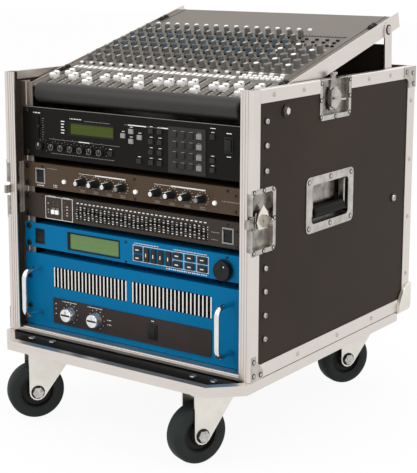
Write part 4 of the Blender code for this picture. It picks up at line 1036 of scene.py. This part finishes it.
# mixer, in the tilted plane: x, u up the slope, w out of the panel
mixer = {
    "top": 26.5, "channels": 16, "firstX": -220, "pitch": 23, "knobRows": 8, "firstU": 100, "rowPitch": 26,
    "masterX": 146, "masterPitch": 21, "masterColumns": 4, "masterRows": 5, "blueRows": (3, 5),
    "channelKnob": [(0, 5.7), (1.4, 5.7), (1.8, 5.1), (11.4, 4.8), (11.4, 0)],
    "skirt": [(0, 6.7), (0.7, 6.7), (0.8, 5.6), (0, 5.6)],
    "masterKnob": [(0, 6.8), (1.6, 6.8), (2, 6), (12.6, 5.7), (13.2, 5), (13.2, 0)],
    "masterTop": [(13, 4.6), (13.7, 4.2), (13.7, 0)],
    "washer": [(0, 7.6), (1.4, 7.6), (1.7, 7), (1.7, 0)],
    "slot": (-38.6, 46), "darkRows": (292, 244, 202, 155, 76),
    "darkKeyU": (76, 113, 139, 165, 191, 217, 243, 269),
    "masterKeys": [(-5, 58), (5, 58), (-5, 68), (5, 68), (0, 80)], "looseKeys": [(127, 197), (133, 176), (133, 150)],
    "masterDarkKeys": [(-5, 236), (5, 236), (0, 252), (0, 266)],
    "masterMarkU": (88, 112, 138, 164, 190, 216, 244),
    "screws": [(side * 233, u) for side in (1, -1) for u in (38, 50, 344, 356)],
}


def onPanel(places, w=0):
    return standing([(x, u, mixer["top"] + w) for x, u in places])


def panelBars(name, bars, finish, rise, depth=0.2):
    # thin bars on the mixer's face: (x0, u0, x1, u1)
    top = mixer["top"]
    made = [newBlock("bar", (x0, u0, top - depth), (x1, u1, top + rise)) for x0, u0, x1, u1 in bars]
    settle(joinPieces(name, made), finish, "tilt", smooth=False)


def onMixer(name, model, places, finish, slot="mixer_grey", smooth=True):
    spread(name, model, onPanel(places), finish, slot, "tilt", smooth)


def dressKnobRows(channelX):
    m = mixer
    for row in range(m["knobRows"]):
        places = [(x, m["firstU"] + m["rowPitch"] * row) for x in channelX]
        finish = "bluePlastic" if row in m["blueRows"] else "knobGrey"
        onMixer("channelKnobs%d" % row, turned("knob", m["channelKnob"], "Z", 12), places, finish)
        pointer = newBlock("pointer", (-0.5, -4.4, 11.2), (0.5, 4.8, 11.9))
        onMixer("channelMarks%d" % row, pointer, places, "hubPlastic" if row % 2 else "print", smooth=False)
        skirt = turned("skirt", m["skirt"], "Z", 14)
        onMixer("channelSkirts%d" % row, skirt, places, "hubPlastic", smooth=False)


def dressFaders(channelX, masterX):
    faders = [(x, 22 * sin(n * 1.9) * cos(n * 0.7)) for n, x in enumerate(channelX)]
    faders += [(x, 18 * sin(n * 2.3)) for n, x in enumerate(masterX)]
    saddle = newBlock("saddle", (-4.8, -8, -0.5), (4.8, 8, 8.5), 0.8)
    lobes = [newBlock("lobe", (-5.3, low, 1.6), (5.3, low + 7.8, 10.4), 2.4, 3) for low in (-9.6, 1.8)]
    onMixer("faderCaps", joinPieces("cap", [saddle] + lobes), faders, "whitePlastic")
    line = newBlock("line", (-4.95, -1.2, 7), (4.95, 1.2, 8.8))
    onMixer("faderCapLines", line, faders, "hubPlastic", smooth=False)
    slotX = channelX + masterX
    low, high = mixer["slot"]
    slots = [(x - 1.8, low, x + 1.8, high) for x in slotX]
    # painted shade: a near-black bar down each fader slot stands for the dark inside of the slot
    panelBars("faderSlots", slots, "voidBlack", 0.12, 0.3)
    band = [(11.5 * n - 226, 54 + n % 3, 11.5 * n - 217.6, 66 + n % 2 * 2) for n in range(31)]
    panelBars("titleBand", band, "print", 0.2)
    ticks = [(x + 4.4, 9 * t - 33, x + 7.6, 9 * t - 32) for x in slotX for t in range(9)]
    panelBars("faderTicks", ticks, "print", 0.12)
    specks = [(x - 8.2 + t % 3, 12 * t - 31, x - 5.2, 12 * t - 29.4) for x in slotX for t in range(7)]
    panelBars("faderSpecks", specks, "hubPlastic", 0.12)


def dressMixer():
    m = mixer
    channelX = [m["firstX"] + m["pitch"] * channel for channel in range(m["channels"])]
    masterX = [m["masterX"] + m["masterPitch"] * column for column in range(m["masterColumns"])]
    rowU = [m["firstU"] + m["rowPitch"] * row for row in range(m["knobRows"])]
    dressKnobRows(channelX)
    dressFaders(channelX, masterX)
    lines = [(x - 11.8, -40, x - 11.2, 300) for x in channelX + [channelX[-1] + m["pitch"]]]
    panelBars("channelLines", lines, "hubPlastic", 0.12)
    marks = [(x - 5.5, u - 13.6, x + 5.5, u - 12) for x in channelX for u in m["darkRows"]]
    panelBars("rowMarks", marks, "hubPlastic", 0.14)
    marks = [(x - 7, u + 8.4, x + 7, u + 9.4) for x in channelX for u in rowU]
    panelBars("knobMarks", marks, "dimPrint", 0.12)
    onMixer("channelKeys", keyModel(6.8, 5.6, 3.8, 0.8), [(x - 1, 315) for x in channelX], "whitePlastic")
    dark = [(x + 5, u) for x in channelX for u in m["darkKeyU"]]
    onMixer("channelDarkKeys", keyModel(3.8, 3.4, 2.6, 0.5), dark, "blackPlastic")
    onMixer("channelMutes", keyModel(6, 4.6, 3, 0.5), [(x - 4, 80) for x in channelX], "whitePlastic")
    places = [(x, u) for x in masterX for u in rowU[:m["masterRows"]]]
    onMixer("masterKnobs", turned("knob", m["masterKnob"], "Z", 16), places, "knobGrey")
    onMixer("masterTops", turned("top", m["masterTop"], "Z", 16), places[::3], "whitePlastic")
    keys = [(x + dx, u) for x in masterX for dx, u in m["masterKeys"]] + m["looseKeys"]
    onMixer("masterKeys", keyModel(7, 5, 3.6, 0.8), keys, "whitePlastic")
    dark = [(x + dx, u) for x in masterX for dx, u in m["masterDarkKeys"]]
    onMixer("masterDarkKeys", keyModel(6, 4.5, 3, 0.8), dark, "blackPlastic")
    panelBars("meterSlot", [(132, 284, 214, 290)], "blackPlastic", 0.5)
    lamps = onPanel([(136 + 6 * n, 287) for n in range(13)], 0.4)
    spread("meterLamps", domeModel(1.4, 1, 10), lamps, "paleKey", "mixer_grey", "tilt")
    marks = [(x - 6, u, x + 6, u + 1.2) for x in masterX for u in m["masterMarkU"]]
    panelBars("masterMarks", marks, "print", 0.12)
    onMixer("mixerScrews", crossScrewModel(6, 6), m["screws"], "darkSteel", "black_plastic")
    onMixer("mixerWashers", turned("washer", m["washer"], "Z", 24), m["screws"], "darkSteel", "black_plastic")
    edges = [newBlock("edge", (x - 1, -44, 26.3), (x + 1, 414, 27.6), 0.5) for x in (226, -226)]
    settle(joinPieces("mixerEdges", edges), "mixerPaint", "tilt")


dressMixer()

# rings and pins where the frame and the legs turn
pivotPlaces = wallPlaces([(0, 0)], 260.15)
spread("pivotRings", ringModel(10, 6, 0.7, 32), pivotPlaces, "darkSteel", "steel", "tilt")
legPin = [(383, 12)]
spread("legRings", ringModel(9.4, 6.6, 0.6, 32), wallPlaces(legPin, 246.7), "darkSteel", "steel", "legs")
spread("legPins", domeModel(5.4, 0.9), wallPlaces(legPin, 248.5), "boltSteel", "steel", "legs")

roll = {"radius": 18.5, "half": 215, "u": -50, "w": 17.4, "back": -45.3, "edge": 5}


def makeArmrest():
    # a padded roll with rounded ends, cut flat at the back
    edge = roll["edge"]
    turns = [pi / 2 * step / 6 for step in range(7)]
    profile = [(edge - roll["half"] - edge * cos(a), roll["radius"] - edge + edge * sin(a)) for a in turns]
    profile = [(-roll["half"], 0)] + profile
    piece = turned("mixerArmrest", profile + [(-p, r) for p, r in reversed(profile)], "X", 64)
    piece.location = (0, roll["u"], roll["w"])
    applyPlace(piece)
    editAll(piece, (bpy.ops.mesh.bisect, {"plane_co": (0, roll["back"], 0), "plane_no": (0, 1, 0),
                                          "use_fill": True, "clear_outer": True}))
    settle(piece, "padVinyl", "tilt")
    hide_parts("mixer_armrest")


makeArmrest()
print("mixer dressed")

# the camera, as the photograph's edges give it: millimetres, degrees and pixels
view = {
    "spot": (1314.1, -1609, 671.4), "yaw": 35.238, "pitch": 10.391, "roll": 0.184,
    "focal": 1274.9, "shift": -0.1089, "pictureHeight": 473,
}


def makeCamera():
    # down by the pitch, round by the yaw, then tipped by the roll
    turns = ((radians(view["yaw"]), "Z"), (pi / 2 - radians(view["pitch"]), "X"), (radians(view["roll"]), "Z"))
    yaw, pitch, tip = [Matrix.Rotation(angle, 4, axis) for angle, axis in turns]
    camera = bpy.data.cameras.new("photoCamera")
    camera.sensor_width = 36
    camera.lens = view["focal"] * camera.sensor_width / view["pictureHeight"]
    camera.shift_y = view["shift"]
    camera.clip_end = 100
    holder = addObject("photoCamera", camera)
    holder.matrix_world = Matrix.Translation(at(*view["spot"])) @ yaw @ pitch @ tip
    bpy.context.scene.camera = holder


def seenRays(tree):
    # 1 for the rays that show the background: from the camera, mirrored or through glass
    kinds = ("Is Camera Ray", "Is Glossy Ray", "Is Transmission Ray")
    camera, glossy, through = [addNode(tree, "ShaderNodeLightPath", {}, {}, kind) for kind in kinds]
    return addNode(tree, "ShaderNodeClamp", {}, {0: camera + glossy + through})


def makeFloor():
    bpy.ops.mesh.primitive_plane_add(size=24, location=(0, 0, 0))
    ground = bpy.context.object
    ground.name = "floor"
    finish = Finish("paleFloor", (0.90, 0.90, 0.89), 0.80, gloss=0)
    white = finish.node("ShaderNodeEmission", {}, {"Color": (1, 1, 1, 1), "Strength": 1})
    surface = Wire(finish.tree, finish.shader.outputs[0])
    blend = finish.node("ShaderNodeMixShader", {}, {0: seenRays(finish.tree) * 0.93, 1: surface, 2: white})
    finish.tree.links.new(blend.socket, finish.tree.nodes["Material Output"].inputs["Surface"])
    ground.data.materials.append(finish.material)


# each lamp's place and size in metres, and its power
lamps = {
    "key": ((-1.6, -2.6, 2.9), 2.6, 34), "fill": ((2.9, -1.6, 1.9), 2.6, 16),
    "top": ((0.2, 0.3, 3.4), 2.4, 26), "back": ((0.6, 3.2, 2.2), 2.4, 14),
}


def makeLights():
    for name, (spot, size, power) in lamps.items():
        light = bpy.data.lights.new(name, "AREA")
        light.size = size
        light.energy = power
        holder = addObject(name, light)
        holder.location = spot
        aim = Vector((0, 0, 0.35)) - Vector(spot)
        holder.rotation_euler = aim.to_track_quat("-Z", "Y").to_euler()
    world = bpy.data.worlds.new("studio")
    bpy.context.scene.world = world
    world.use_nodes = True
    tree = world.node_tree
    background = tree.nodes["Background"]
    colours = {0: seenRays(tree), 6: (0.90, 0.90, 0.90, 1), 7: (1, 1, 1, 1)}
    seen = addNode(tree, "ShaderNodeMix", {"data_type": "RGBA"}, colours, 2)
    tree.links.new(seen.socket, background.inputs["Color"])
    background.inputs["Strength"].default_value = 1


makeCamera()
makeFloor()
makeLights()
bpy.context.scene.view_settings.view_transform = "Standard"
